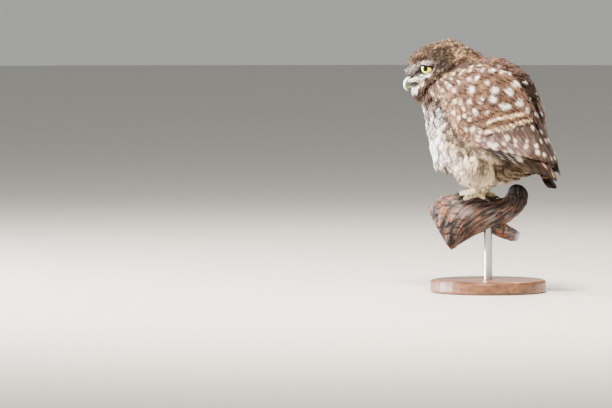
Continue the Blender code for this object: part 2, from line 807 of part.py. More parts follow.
# Legs: centre line of the feathered left thigh, with its half width across and fore and aft
THIGH_LINE = (
    (0.0240, 0.0230, 0.0520, 0.0100, 0.0150),
    (0.0255, 0.0170, 0.0400, 0.0140, 0.0210),
    (0.0230, 0.0100, 0.0275, 0.0138, 0.0195),
    (0.0170, 0.0060, 0.0185, 0.0110, 0.0145),
    (0.0120, 0.0045, 0.0120, 0.0075, 0.0100),
    (0.0095, 0.0037, 0.0078, 0.0048, 0.0060),
    (0.0092, 0.0035, 0.0046, 0.0024, 0.0028),
)


def make_leg(side, name):
    rings = []
    steps = 7
    for step in range(steps + 1):
        x, y, z, across, along = through(THIGH_LINE, (len(THIGH_LINE) - 1) * step / steps)
        rings.append([
            Vector((side * (x + across * math.sin(angle)), y + along * math.cos(angle), z))
            for angle in (2 * math.pi * index / 14 for index in range(14))
        ])
    return loft(name, rings, PARTS)


# Feet: plan position of each foot, and its toes as (name, direction from straight ahead towards
# the outside, length of the toe, length of the claw)
FOOT_X = 0.0092
FOOT_Y = 0.0035
INSTEP_HEIGHT = 0.0054
INSTEP_RADII = (0.0046, 0.0054, 0.0046)
TOE_RADIUS = (0.0036, 0.0027)
TOES = (
    ("inner", -24, 0.0140, 0.0062),
    ("middle", 8, 0.0160, 0.0066),
    ("outer", 62, 0.0125, 0.0060),
    ("hind", 172, 0.0085, 0.0058),
)
CLAW_RADIUS = 0.0012
CLAW_SHARES = (0.12, 0.5, 0.85, 1.15)


def surface_of(obj):
    return BVHTree.FromPolygons(
        [vert.co for vert in obj.data.vertices],
        [face.vertices for face in obj.data.polygons],
    )


def walk(surface, start, heading, lengths):
    """Points on a surface and its normals there, met at the given lengths along a heading."""
    place, normal = surface.find_nearest(start)[:2]
    found = [(place, normal)]
    done = 0.0
    for length in lengths:
        while done < length:
            step = min(0.0010, length - done)
            flat = (heading - normal * heading.dot(normal)).normalized()
            place, normal = surface.find_nearest(place + flat * step)[:2]
            heading = flat
            done += step
        found.append((place, normal))
    return found


def make_foot(side, name, surface):
    """Four feathered toes that follow the branch from one instep, and their claws."""
    instep = surface.find_nearest(Vector((side * FOOT_X, FOOT_Y, 0.0)))[0]
    body = ball(name, instep + Vector((0.0, 0.0, INSTEP_HEIGHT)), INSTEP_RADII, 12, 8, PARTS)
    toes = []
    claws = []
    for toe, degrees, length, claw in TOES:
        angle = math.radians(degrees)
        heading = Vector((side * math.sin(angle), -math.cos(angle), 0.0))
        shares = (0.15, 0.4, 0.7, 1.0)
        marks = [share * length for share in shares]
        marks += [length + claw * share for share in CLAW_SHARES]
        route = walk(surface, instep, heading, marks)
        rings = []
        for index in range(1, 5):
            place, normal = route[index]
            ahead = (route[index + 1][0] - route[index - 1][0]).normalized()
            radius = TOE_RADIUS[0] + (TOE_RADIUS[1] - TOE_RADIUS[0]) * shares[index - 1]
            lift = 0.0003 + radius * (1.15 if index < 4 else 1.1)
            across = ahead.cross(normal).normalized()
            over = across.cross(ahead).normalized()
            if over.dot(normal) < 0:
                over.negate()
            middle = place + normal * lift
            rings.append([
                middle + (across * math.sin(turn) + over * math.cos(turn)) * radius
                for turn in (2 * math.pi * corner / 6 for corner in range(6))
            ])
        place, normal = route[4]
        ahead = (route[5][0] - route[3][0]).normalized()
        tip = place + normal * (0.0003 + TOE_RADIUS[1] * 1.1) + ahead * TOE_RADIUS[1] * 0.7
        toes.append(loft("toe", rings, PARTS, end=tip))
        claws.append((f"claw_{'left' if side > 0 else 'right'}_{toe}", route[5:], tip, ahead))
    unite(body, toes)
    return body, claws


def make_claw(name, route, root, ahead, foot_grown):
    """A curved claw from the end of its toe down to the bark."""
    lifts = (0.0019, 0.0021, 0.0013, 0.0005)
    sizes = (1.0, 0.8, 0.5)
    points = [place + normal * lift for (place, normal), lift in zip(route, lifts)]
    rings = []
    for index, size in enumerate(sizes):
        direction = (points[index + 1] - points[max(index - 1, 0)]).normalized()
        normal = route[index][1]
        across = direction.cross(normal).normalized()
        over = across.cross(direction)
        radius = CLAW_RADIUS * size
        rings.append([
            points[index] + (across * math.sin(turn) + over * math.cos(turn)) * radius
            for turn in (2 * math.pi * corner / 6 for corner in range(6))
        ])
    start = root - ahead * 0.0022
    claw = loft(name, rings, PARTS, start=start, end=points[3])
    cut(claw, [foot_grown])
    return claw


clear_scene()
PARTS = new_collection("little_owl")
CUTTERS = new_collection("cutters")

body = make_torso()
head_form = make_head()
unite(body, [head_form, make_throat(), make_collar()])
whole = grown(body, GROWN)

neck_far = NECK_CUT - NECK_AXIS * NECK_LENGTH
half_gap = NECK_AXIS * (GAP / 2)
head = copy_of(body, "head")
keep_side(head, NECK_CUT + half_gap, NECK_AXIS)
neck = copy_of(body, "neck")
keep_side(neck, NECK_CUT - half_gap, -NECK_AXIS)
keep_side(neck, neck_far + half_gap, NECK_AXIS)
keep_side(body, neck_far - half_gap, -NECK_AXIS)
torso = body

eye_left, eye_right = make_eyes(head)
bill_upper, bill_lower = make_bill(head)

perch = make_perch()
surface = surface_of(perch)
feet = []
claws = []
legs = []
for side, which in ((1, "left"), (-1, "right")):
    foot, starts = make_foot(side, "foot_" + which, surface)
    foot_grown = grown(foot, GROWN)
    for name, route, root, ahead in starts:
        claws.append(make_claw(name, route, root, ahead, foot_grown))
    leg = make_leg(side, "leg_" + which)
    cut(leg, [whole, foot_grown], "MANIFOLD")
    feet.append(foot)
    legs.append(leg)
base, post = make_stand(perch)

wing_left = make_wing_core("wing_left")
unite(wing_left, make_wing_feathers(7))
wing_right = mirrored(wing_left, "wing_right")
for wing, side in ((wing_left, 1), (wing_right, -1)):
    cut(wing, [whole])
    keep_side(wing, Vector((side * GAP / 2, 0.0, 0.0)), Vector((side, 0.0, 0.0)))
tail = make_tail()
cut(tail, [whole, grown(wing_left, GROWN), grown(wing_right, GROWN)])

FEATHERS_BROWN = material("brown_feathers", (0.13, 0.085, 0.055), 0.8)
FEATHERS_PALE = material("pale_feathers", (0.55, 0.45, 0.36), 0.85)
WING_BROWN = material("wing_feathers", (0.15, 0.10, 0.07), 0.75)
BILL_HORN = material("bill_horn", (0.45, 0.50, 0.30), 0.35)
CLAW_HORN = material("claw_horn", (0.10, 0.08, 0.07), 0.35)
IRIS_YELLOW = material("yellow_eye", (0.80, 0.62, 0.05), 0.1)
BARK = material("weathered_branch", (0.10, 0.06, 0.045), 0.8)
STEEL = material("brushed_steel", (0.55, 0.55, 0.55), 0.3, 1.0)
BASE_WOOD = material("turned_wood", (0.22, 0.13, 0.07), 0.45)

finishes = [
    (torso, FEATHERS_PALE), (neck, FEATHERS_BROWN), (head, FEATHERS_BROWN), (tail, WING_BROWN),
    (wing_left, WING_BROWN), (wing_right, WING_BROWN), (eye_left, IRIS_YELLOW), (eye_right, IRIS_YELLOW),
    (bill_upper, BILL_HORN), (bill_lower, BILL_HORN), (perch, BARK), (base, BASE_WOOD), (post, STEEL),
]
finishes += [(piece, FEATHERS_PALE) for piece in feet + legs]
finishes += [(piece, CLAW_HORN) for piece in claws]

perch_point = bpy.data.objects.new("perch_point", None)
perch_point.location = PERCH_POINT
PARTS.objects.link(perch_point)
for piece, finish in finishes:
    piece.data.materials.clear()
    piece.data.materials.append(finish)
    piece.parent = perch_point
for helper in list(CUTTERS.objects):
    helper.parent = perch_point
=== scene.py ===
# %% [markdown]
# # A young little owl on its branch
# This lesson dresses the solids of a life-size model of a young little owl, Athene noctua. The bird
# looks over its left shoulder and grips the end of a gnarled branch, which a steel rod holds above
# a turned wooden base. The solids give every place and size. Here they get a skin, a coat of
# feathers, eyes, horn, bark, and finishes made of nodes.

import json
import math
import random

import bmesh
import bpy
import numpy as np
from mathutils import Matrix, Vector, kdtree
from mathutils.bvhtree import BVHTree

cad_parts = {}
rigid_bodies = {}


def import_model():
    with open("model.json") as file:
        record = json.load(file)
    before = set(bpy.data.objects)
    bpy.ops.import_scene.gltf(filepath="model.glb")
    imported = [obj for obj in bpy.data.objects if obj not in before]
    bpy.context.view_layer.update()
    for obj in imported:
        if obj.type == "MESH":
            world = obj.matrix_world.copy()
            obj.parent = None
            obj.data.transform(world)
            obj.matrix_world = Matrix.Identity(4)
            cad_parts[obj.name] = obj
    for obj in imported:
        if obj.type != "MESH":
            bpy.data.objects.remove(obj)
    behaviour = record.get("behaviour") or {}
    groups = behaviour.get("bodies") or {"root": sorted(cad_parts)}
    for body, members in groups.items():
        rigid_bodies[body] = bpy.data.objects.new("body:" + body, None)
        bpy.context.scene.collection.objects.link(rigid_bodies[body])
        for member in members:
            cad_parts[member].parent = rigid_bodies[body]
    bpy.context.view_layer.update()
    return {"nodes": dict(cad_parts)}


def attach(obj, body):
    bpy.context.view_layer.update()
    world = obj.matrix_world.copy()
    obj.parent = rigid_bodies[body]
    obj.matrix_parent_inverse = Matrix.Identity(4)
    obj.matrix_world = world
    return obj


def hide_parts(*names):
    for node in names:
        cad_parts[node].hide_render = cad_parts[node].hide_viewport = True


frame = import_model()
nodes = frame["nodes"]
SCENE = bpy.context.scene.collection
SIDES = (("left", 1), ("right", -1))
UP = np.array((0.0, 0.0, 1.0))

# %% [markdown]
# Colours are written as sRGB hex values, as a paint chart gives them, and one function turns them
# into the linear values that a shader works with. A second function adds a node, with its settings
# and its links. Most of the finishes are alike in kind: a colour that each point carries, made
# lighter and darker by fine noise, which also gives a little relief. One function makes them all.

# %% Colours and nodes


def linear(hex_value):
    """A colour such as "7d6350" as three linear values."""
    parts = [int(hex_value[i:i + 2], 16) / 255 for i in (0, 2, 4)]
    return np.array([p / 12.92 if p <= 0.04045 else ((p + 0.055) / 1.055) ** 2.4 for p in parts])


def add_node(tree, kind, settings=None, **inputs):
    """Adds a node. An input is a value or another node's socket, named with _ for a space, or by
    its number after an i where several sockets share a name."""
    node = tree.nodes.new(kind)
    for key, value in (settings or {}).items():
        setattr(node, key, value)
    for key, value in inputs.items():
        numbered = key[0] == "i" and key[1:].isdigit()
        socket = node.inputs[int(key[1:]) if numbered else key.replace("_", " ")]
        if isinstance(value, bpy.types.NodeSocket):
            tree.links.new(value, socket)
        else:
            socket.default_value = value
    return node


def new_material(name):
    """A material with one Principled shader, whose tree and shader are returned with it."""
    made = bpy.data.materials.new(name)
    made.use_nodes = True
    return made, made.node_tree, made.node_tree.nodes["Principled BSDF"]


def ramp_node(tree, value, stops):
    """A Color Ramp whose stops are (place, hex colour)."""
    node = add_node(tree, "ShaderNodeValToRGB", Fac=value)
    elements = node.color_ramp.elements
    while len(elements) < len(stops):
        elements.new(0.5)
    for element, (place, colour) in zip(elements, stops):
        element.position = place
        element.color = (*linear(colour), 1.0)
    return node


def set_shader(shader, **values):
    """Sets constants on the shader's own sockets, named with _ for a space."""
    for key, value in values.items():
        shader.inputs[key.replace("_", " ")].default_value = value


def multiplied(tree, colour, other, share=1.0):
    """The socket of one colour darkened by another."""
    settings = {"data_type": "RGBA", "blend_type": "MULTIPLY"}
    return add_node(tree, "ShaderNodeMix", settings, i0=share, i6=colour, i7=other).outputs[2]


def object_noise(tree, scale, detail, roughness=0.5, stretch=(1.0, 1.0, 1.0)):
    """The socket of noise in the object's own space, drawn out along an axis by a small stretch."""
    place = add_node(tree, "ShaderNodeTexCoord").outputs["Object"]
    if stretch != (1.0, 1.0, 1.0):
        place = add_node(tree, "ShaderNodeMapping", Vector=place, Scale=stretch).outputs["Vector"]
    numbers = {"Scale": scale, "Detail": detail, "Roughness": roughness}
    return add_node(tree, "ShaderNodeTexNoise", Vector=place, **numbers).outputs["Fac"]


def bumped(tree, shader, height, strength, distance):
    relief = add_node(tree, "ShaderNodeBump", Height=height, Strength=strength, Distance=distance)
    tree.links.new(relief.outputs["Normal"], shader.inputs["Normal"])


def grained_material(name, grain, tones, relief, **values):
    """A material whose colour is the attribute plumage, broken up by noise. Grain is the noise's
    scale, detail and roughness, tones are the darkest and lightest share of the colour, and relief
    is the bump's strength and distance."""
    made, tree, shader = new_material(name)
    colour = add_node(tree, "ShaderNodeAttribute", {"attribute_name": "plumage"}).outputs["Color"]
    fine = object_noise(tree, *grain)
    shade = add_node(tree, "ShaderNodeMapRange", Value=fine, To_Min=tones[0], To_Max=tones[1])
    tree.links.new(multiplied(tree, colour, shade.outputs["Result"]), shader.inputs["Base Color"])
    bumped(tree, shader, fine, *relief)
    set_shader(shader, **values)
    return made


# %% [markdown]
# The bird was laid out from the point of the branch between its feet. Along the body run sections
# from the throat to the wing tips, and a place on the coat is named by its section and by its angle
# round the body, with 0 on the back, 90 on the bird's left and 180 on the breast. Every feather of
# the body and the wings is laid out in these two numbers and a height, so they are set up first, as
# functions of whole arrays.

# %% Places on the body
PERCH_POINT = np.array((0.0, -0.011, 0.092))
# Each section: y and z of its back, y and z of its breast, and its half width, from the perch point
BODY_SECTIONS = np.array((
    (-0.030, 0.123, -0.052, 0.098, 0.018),
    (-0.008, 0.128, -0.0545, 0.084, 0.030),
    (0.015, 0.128, -0.051, 0.066, 0.038),
    (0.036, 0.120, -0.0465, 0.047, 0.041),
    (0.0500, 0.1050, -0.042, 0.030, 0.0415),
    (0.0572, 0.0875, -0.029, 0.022, 0.040),
    (0.0618, 0.0707, -0.006, 0.021, 0.037),
    (0.0675, 0.0557, 0.014, 0.019, 0.0315),
    (0.0730, 0.0440, 0.030, 0.016, 0.025),
    (0.0780, 0.0340, 0.043, 0.016, 0.019),
    (0.082, 0.025, 0.054, 0.014, 0.015),
    (0.084, 0.016, 0.064, 0.009, 0.012),
    (0.087, 0.007, 0.074, 0.003, 0.011),
))
HEAD_CENTRE = PERCH_POINT + (0.0, -0.043, 0.1205)
HEAD_YAW = math.radians(50)
NECK_CUT = PERCH_POINT + (0.0, -0.033, 0.1074)
NECK_AXIS = np.array((0.0, -0.59, 0.807))
PLACE_STEP = 0.125
ANGLE_STEP = 4.0


def through(rows, place):
    """A smooth curve through rows of numbers, read at each place: 2.5 is half way from row 2 to 3."""
    rows = np.asarray(rows, float)
    place = np.asarray(place, float)
    last = len(rows) - 1
    index = np.clip(np.floor(place).astype(int), 0, last - 1)
    t = (place - index)[..., None]
    p, a = rows[np.maximum(index - 1, 0)], rows[index]
    b, q = rows[index + 1], rows[np.minimum(index + 2, last)]
    return a + 0.5 * t * ((b - p) + t * (2 * p - 5 * a + 4 * b - q + t * (3 * (a - b) + q - p)))


def smooth(low, high, value):
    """0 up to low and 1 from high on, with a soft passage between. It falls where high < low."""
    t = np.clip((np.asarray(value, float) - low) / (high - low), 0.0, 1.0)
    return t * t * (3 - 2 * t)


def blend(a, b, share):
    """The value a, which passes into b as the share goes from 0 to 1."""
    return a * (1 - share) + b * share


def body_point(place, degrees):
    """The point of the body at a section and an angle: each section is a slanting ellipse."""
    back_y, back_z, breast_y, breast_z, half_width = np.moveaxis(through(BODY_SECTIONS, place), -1, 0)
    angle = np.radians(degrees)
    along = np.cos(angle)
    x = half_width * np.sin(angle)
    y = (back_y + breast_y) / 2 + (back_y - breast_y) / 2 * along
    z = (back_z + breast_z) / 2 + (back_z - breast_z) / 2 * along
    return np.stack((x, y, z), -1) + PERCH_POINT


def unit(vectors):
    return vectors / np.maximum(np.linalg.norm(vectors, axis=-1, keepdims=True), 1e-12)


def body_frame(place, degrees):
    """The directions along the body and straight out of it."""
    step = 0.01
    along = body_point(place + step, degrees) - body_point(place - step, degrees)
    around = body_point(place, degrees + 1.0) - body_point(place, degrees - 1.0)
    return unit(along), unit(np.cross(around, along))


def over_body(place, degrees, height):
    return body_point(place, degrees) + body_frame(place, degrees)[1] * np.asarray(height)[..., None]


def point_tree(points):
    """A search tree that gives the row of the nearest point."""
    finder = kdtree.KDTree(len(points))
    for row, point in enumerate(points):
        finder.insert(point, row)
    finder.balance()
    return finder


grid_places, grid_angles = (axis.ravel() for axis in np.meshgrid(
    np.arange(0.0, len(BODY_SECTIONS) - 0.99, PLACE_STEP), np.arange(-180, 180, ANGLE_STEP), indexing="ij"
))
BODY_TREE = point_tree(body_point(grid_places, grid_angles))


def place_on_body(points):
    """The nearest section and angle of each point, refined between the grid's neighbours."""
    found = np.empty((len(points), 2))
    for row, point in enumerate(points):
        near = BODY_TREE.find_n(point, 3)
        weights = np.array([1 / (distance + 1e-5) for _, _, distance in near])
        chosen = [index for _, index, _ in near]
        angles = grid_angles[chosen]
        angles = angles[0] + (angles - angles[0] + 180) % 360 - 180
        found[row] = np.average(grid_places[chosen], weights=weights), np.average(angles, weights=weights)
    found[:, 1] = (found[:, 1] + 180) % 360 - 180
    return found[:, 0], found[:, 1]


print("body grid:", len(grid_places), "places")

# %% [markdown]
# The head is turned, so it has a frame of its own: left, forward and up from its centre. Three more
# measures are used all over: how far a point lies past the neck, above the perch and behind it.

# %% Places on the head


def in_face(points):
    """Points in the head's own frame: left, forward and up from its centre."""
    offset = points - HEAD_CENTRE
    cos, sin = math.cos(HEAD_YAW), math.sin(HEAD_YAW)
    left = offset[..., 0] * cos + offset[..., 1] * sin
    back = -offset[..., 0] * sin + offset[..., 1] * cos
    return left, -back, offset[..., 2]


def from_face(left, forward, up):
    """The other way: places in the head's frame as points of the model."""
    cos, sin = math.cos(HEAD_YAW), math.sin(HEAD_YAW)
    left, forward, up = np.broadcast_arrays(left, forward, up)
    return HEAD_CENTRE + np.stack((left * cos + forward * sin, left * sin - forward * cos, up), -1)


def face_direction(left, forward):
    return from_face(left, forward, 0.0) - HEAD_CENTRE


def past_neck(points):
    """How far each point lies above the plane where the neck leaves the torso."""
    return (points - NECK_CUT) @ NECK_AXIS


def above_perch(points):
    return points[..., 2] - PERCH_POINT[2]


def behind_perch(points):
    return points[..., 1] - PERCH_POINT[1]


print("head centre:", [round(v * 1000) for v in HEAD_CENTRE], "mm")

# %% [markdown]
# Nothing in a coat repeats exactly, but it has to come out the same on every run. This noise is
# smooth and seeded: each corner of a grid gets a number from its own coordinates, and a point
# blends the numbers of the corners round it. The second function adds finer and finer layers.

# %% Noise
HASH_STEPS = (374761393, 668265263, 2147483647)
HASH_SEED = 974711
HASH_MIX = 1274126177


def noise(points, seed=0):
    """Smooth noise from 0 to 1 for an array of points in units of the grid."""
    points = np.asarray(points, float)
    base = np.floor(points).astype(np.int64)
    t = points - base
    t = t * t * (3 - 2 * t)
    total = 0.0
    for corner in range(8):
        step = np.array([(corner >> k) & 1 for k in range(3)])
        key = base + step
        mixed = sum(key[..., k] * HASH_STEPS[k] for k in range(3)) + seed * HASH_SEED
        mixed = (mixed ^ (mixed >> 13)) * HASH_MIX
        value = ((mixed ^ (mixed >> 16)) & 0xFFFF) / 65535.0
        weight = np.prod(np.where(step == 1, t, 1 - t), axis=-1)
        total = total + weight * value
    return total


def layered_noise(points, layers, seed=0):
    total, size = 0.0, 0.0
    for layer in range(layers):
        total = total + noise(points * 2 ** layer, seed + layer) / 2 ** layer
        size += 1 / 2 ** layer
    return total / size


# %% [markdown]
# Pieces made of arrays all go through one function, which makes the mesh, gives it any attributes
# of its points, shades it smooth and links it. The next one is the other half of the work on every
# piece: it rides on the one body and hides the solids that it replaces.

# %% Pieces


def mesh_object(name, points, faces, finish=None, attributes=None):
    """A mesh object. Faces is an array of triangles or quads. Attributes are named values."""
    mesh = bpy.data.meshes.new(name)
    faces = np.asarray(faces, np.int32)
    corners = faces.shape[1]
    mesh.vertices.add(len(points))
    mesh.vertices.foreach_set("co", np.asarray(points, np.float32).ravel())
    mesh.loops.add(faces.size)
    mesh.loops.foreach_set("vertex_index", faces.ravel())
    mesh.polygons.add(len(faces))
    mesh.polygons.foreach_set("loop_start", np.arange(0, faces.size, corners, dtype=np.int32))
    mesh.update(calc_edges=True)
    mesh.validate()
    for key, values in (attributes or {}).items():
        set_attribute(mesh, key, values)
    mesh.shade_smooth()
    piece = bpy.data.objects.new(name, mesh)
    SCENE.objects.link(piece)
    if finish:
        mesh.materials.append(finish)
    return piece


def set_attribute(mesh, key, values):
    """Writes a number, a vector or a colour for each point."""
    values = np.asarray(values, np.float32)
    if values.ndim == 1:
        mesh.attributes.new(key, "FLOAT", "POINT").data.foreach_set("value", values)
    elif key == "plumage":
        values = np.concatenate((values, np.ones((len(values), 1), np.float32)), axis=1)
        mesh.attributes.new(key, "FLOAT_COLOR", "POINT").data.foreach_set("color", values.ravel())
    else:
        mesh.attributes.new(key, "FLOAT_VECTOR", "POINT").data.foreach_set("vector", values.ravel())


def read(rows, key, width=1, kind=np.float32):
    """One property of all vertices, loops, triangles or values of an attribute, as an array."""
    values = np.empty(len(rows) * width, kind)
    rows.foreach_get(key, values)
    return values if width == 1 else values.reshape(-1, width)


def set_uv(mesh, uv):
    """Writes the UV map OFBake from one place for each point."""
    loops = read(mesh.loops, "vertex_index", 1, np.int32)
    mesh.uv_layers.new(name="OFBake").data.foreach_set("uv", uv[loops].astype(np.float32).ravel())


def settle(piece, slot, *replaced):
    """Rides the piece on the body and hides the solids that it stands for. The slot is not used."""
    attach(piece, "root")
    if replaced:
        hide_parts(*replaced)
    return piece


print("pieces can be made")

# %% [markdown]
# Two forms come back again and again. The bill, the branch, the eyeballs and the wings are lofts:
# closed rings of points, one after another, with a point at the middle of each end. The barbs and
# bristles are strands, which are the same with three points to a ring and a single point as the tip.

# %% Lofts and strands


def ring_faces(rows, columns):
    """Quads between rows of points, each row a closed ring of the same number of points."""
    row, column = np.meshgrid(np.arange(rows - 1), np.arange(columns), indexing="ij")
    here = row * columns + column
    beside = row * columns + (column + 1) % columns
    return np.stack((here, beside, beside + columns, here + columns), -1).reshape(-1, 4)


def split_quads(quads):
    return np.concatenate((quads[:, [0, 1, 2]], quads[:, [0, 2, 3]]))


def loft_faces(rows, columns):
    """Triangles of a loft through closed rings. The two points after them are its ends' middles."""
    column = np.arange(columns)
    following = (column + 1) % columns
    last_row = (rows - 1) * columns
    start = np.stack((following, column, np.full(columns, rows * columns)), -1)
    end = np.stack((column + last_row, following + last_row, np.full(columns, rows * columns + 1)), -1)
    return np.concatenate((split_quads(ring_faces(rows, columns)), start, end))


def with_ends(rings):
    """The points of the rings, then the middle of the first and of the last ring."""
    return np.concatenate((rings.reshape(-1, 3), rings[0].mean(0)[None], rings[-1].mean(0)[None]))


def facing_out(points, faces):
    """The triangles of a closed surface, turned over where they face inwards."""
    corners = points[faces]
    volume = np.einsum("ij,ij->i", corners[:, 0], np.cross(corners[:, 1], corners[:, 2])).sum()
    return faces[:, ::-1] if volume < 0 else faces


def closed_loft(name, rings, finish, attributes=None):
    """A solid through closed rings, with a point at the middle of each end."""
    points = with_ends(rings)
    return mesh_object(name, points, facing_out(points, loft_faces(*rings.shape[:2])), finish, attributes)


def strand_faces(start, rings):
    """Triangles of a closed strand: rings of three points, and one point as its tip."""
    faces = [(start, start + 1, start + 2)]
    for ring in range(rings):
        a = start + ring * 3
        for near, far in ((0, 1), (1, 2), (2, 0)):
            if ring < rings - 1:
                faces += [(a + near, a + near + 3, a + far + 3), (a + near, a + far + 3, a + far)]
            else:
                faces.append((a + near, a + 3, a + far))
    return faces


print("a strand of three rings has", len(strand_faces(0, 3)), "triangles")

# %% [markdown]
# ## The stage
# A plain pale floor under soft lights, so that nothing competes with the bird. The camera stands
# where the photograph was taken from: behind the bird's left side, a little above it, far away, so
# the lens is long. The floor is a large disc and the world a pale grey, which keeps the light even.

# %% Camera, lights and floor
CAMERA_AZIMUTH = math.radians(120)
CAMERA_ELEVATION = math.radians(3)
CAMERA_DISTANCE = 8.075
AIM_RIGHT, AIM_UP = -0.1634, -0.0086
LIGHTS_AIM = Vector((0.0, 0.0, 0.16))
FLOOR_RADIUS = 6
FLOOR_DROP = 0.0002


def outwards(azimuth, elevation):
    """The direction from the bird to a place seen at an azimuth and an elevation, in radians."""
    flat = math.cos(elevation)
    return np.array((math.sin(azimuth) * flat, -math.cos(azimuth) * flat, math.sin(elevation)))


back = outwards(CAMERA_AZIMUTH, CAMERA_ELEVATION)
right = np.array((math.cos(CAMERA_AZIMUTH), math.sin(CAMERA_AZIMUTH), 0.0))
aim = PERCH_POINT + right * AIM_RIGHT - np.cross(back, right) * -AIM_UP
camera = bpy.data.objects.new("camera", bpy.data.cameras.new("camera"))
camera.data.lens = 500
camera.data.sensor_width = 36
camera.data.clip_end = 50
camera.location = aim + back * CAMERA_DISTANCE
camera.rotation_euler = Vector(-back).to_track_quat("-Z", "Y").to_euler()
SCENE.objects.link(camera)
bpy.context.scene.camera = camera


def soft_light(name, azimuth, elevation, distance, size, power, colour):
    """An area light that looks at the bird."""
    light = bpy.data.lights.new(name, "AREA")
    light.shape = "DISK"
    light.size = size
    light.energy = power
    light.color = linear(colour)
    lamp = bpy.data.objects.new(name, light)
    out = Vector(outwards(math.radians(azimuth), math.radians(elevation)))
    lamp.location = LIGHTS_AIM + out * distance
    lamp.rotation_euler = (-out).to_track_quat("-Z", "Y").to_euler()
    SCENE.objects.link(lamp)


soft_light("sky_light", azimuth=108, elevation=58, distance=1.1, size=0.40, power=71.0, colour="fff1e2")
soft_light("near_light", azimuth=22, elevation=4, distance=1.3, size=0.5, power=108.0, colour="fbf8ff")
soft_light("far_light", azimuth=-60, elevation=40, distance=1.2, size=0.7, power=14.0, colour="ffeeda")

world = bpy.data.worlds.new("pale_room")
world.use_nodes = True
world.node_tree.nodes["Background"].inputs["Color"].default_value = (*linear("e4e4e0"), 1.0)
world.node_tree.nodes["Background"].inputs["Strength"].default_value = 0.55
bpy.context.scene.world = world

# A matt card gives the eye nothing to look at but the soft shadow of the stand
floor_finish, tree, shader = new_material("matt_card")
set_shader(shader, Base_Color=(*linear("c9c7c0"), 1.0), Roughness=0.9)
rim_angles = np.radians(np.arange(0, 360, 5.0))
floor_points = [(FLOOR_RADIUS * math.cos(a), FLOOR_RADIUS * math.sin(a), -FLOOR_DROP) for a in rim_angles]
floor_points.append((0, 0, -FLOOR_DROP))
floor_faces = [(i, (i + 1) % len(rim_angles), len(rim_angles)) for i in range(len(rim_angles))]
floor = mesh_object("floor", floor_points, floor_faces, floor_finish)
print("camera at", [round(v, 2) for v in camera.location])

# %% [markdown]
# ## The skin
# Under the coat a bird has one skin without seams. It could be modelled afresh, but the solids
# already have its outline, so copies of the torso, neck, head, legs and feet are joined, with each
# eyeball filling its socket, and remeshed into one even surface. That surface then sinks by the
# depth of the coat, which is deep on the breast and thin on the face and toes.

# %% Skin
FLESH = ("torso", "neck", "head", "leg_left", "leg_right", "foot_left", "foot_right")
VOXEL = 0.0014
GROWTH = 0.0004


def merged_copy(names, growth):
    """One mesh of several solids, with their loose triangles merged and grown a little."""
    whole = bmesh.new()
    for name in names:
        part = bmesh.new()
        part.from_mesh(nodes[name].data)
        bmesh.ops.remove_doubles(part, verts=part.verts[:], dist=0.00001)
        part.normal_update()
        moves = [vert.co + vert.normal * growth for vert in part.verts]
        for vert, move in zip(part.verts, moves):
            vert.co = move
        mesh = bpy.data.meshes.new("part")
        part.to_mesh(mesh)
        part.free()
        whole.from_mesh(mesh)
        bpy.data.meshes.remove(mesh)
    mesh = bpy.data.meshes.new("joined")
    whole.to_mesh(mesh)
    whole.free()
    return mesh


def applied(piece):
    """The piece's mesh with its modifiers worked in, and the modifiers gone."""
    graph = bpy.context.evaluated_depsgraph_get()
    mesh = bpy.data.meshes.new_from_object(piece.evaluated_get(graph))
    piece.modifiers.clear()
    old = piece.data
    piece.data = mesh
    bpy.data.meshes.remove(old)
    return piece


skin = bpy.data.objects.new("skin", merged_copy(FLESH + ("eye_left", "eye_right"), GROWTH))
SCENE.objects.link(skin)
remesh = skin.modifiers.new("one_surface", "REMESH")
remesh.mode = "VOXEL"
remesh.voxel_size = VOXEL
relax = skin.modifiers.new("relax", "SMOOTH")
relax.factor = 0.5
relax.iterations = 4
applied(skin)

print("joined and remeshed:", len(skin.data.polygons), "faces")

# %% [markdown]
# The eyes are set first, because the coat thins towards them. Then the surface sinks by the coat's
# depth. The nape is raised and the crown and brow are lowered a little, so that the feathered head
# follows the outline in the photo.

# %% Depth of the coat
EYE_TURN = math.radians(39)
EYE_RADIUS = 0.0075
EYE_SIDE, EYE_FRONT, EYE_UP = 0.0155, 0.0196, 0.0003
LID_HALF_WIDTH = 0.0072
LID_HALF_HEIGHT = 0.0057
LID_TOP = 0.0004
LID_RIM = 0.0013
LID_SLANT = 0.11
BODY_DEPTH, FACE_DEPTH, LEG_DEPTH, TOE_DEPTH = 0.0032, 0.0008, 0.0011, 0.0005
CROWN_EXTRA_DEPTH = 0.0010
NAPE_RISE, BACK_HEAD_RISE, CROWN_DIP, BROW_TRIM = 0.0021, 0.0010, 0.0014, 0.0018


def eye_centre(side):
    left = side * (EYE_SIDE - math.sin(EYE_TURN) * EYE_RADIUS)
    return from_face(left, EYE_FRONT - math.cos(EYE_TURN) * EYE_RADIUS, EYE_UP)


def eye_axis(side):
    return face_direction(side * math.sin(EYE_TURN), math.cos(EYE_TURN))


def across_eye(points, side):
    """The way from an eye's axis to each point, square to the axis, and the depth along it."""
    offset = points - eye_centre(side)
    depth = offset @ eye_axis(side)
    return offset - depth[:, None] * eye_axis(side), depth


def from_eye(points):
    """How far each point is from the nearer eye's axis. What lies behind the eye counts as further."""
    nearest = np.full(len(points), 1.0)
    for _, side in SIDES:
        across, depth = across_eye(points, side)
        away = np.linalg.norm(across, axis=1)
        nearest = np.minimum(nearest, np.where(depth > 0.0, away, away + 0.02))
    return nearest


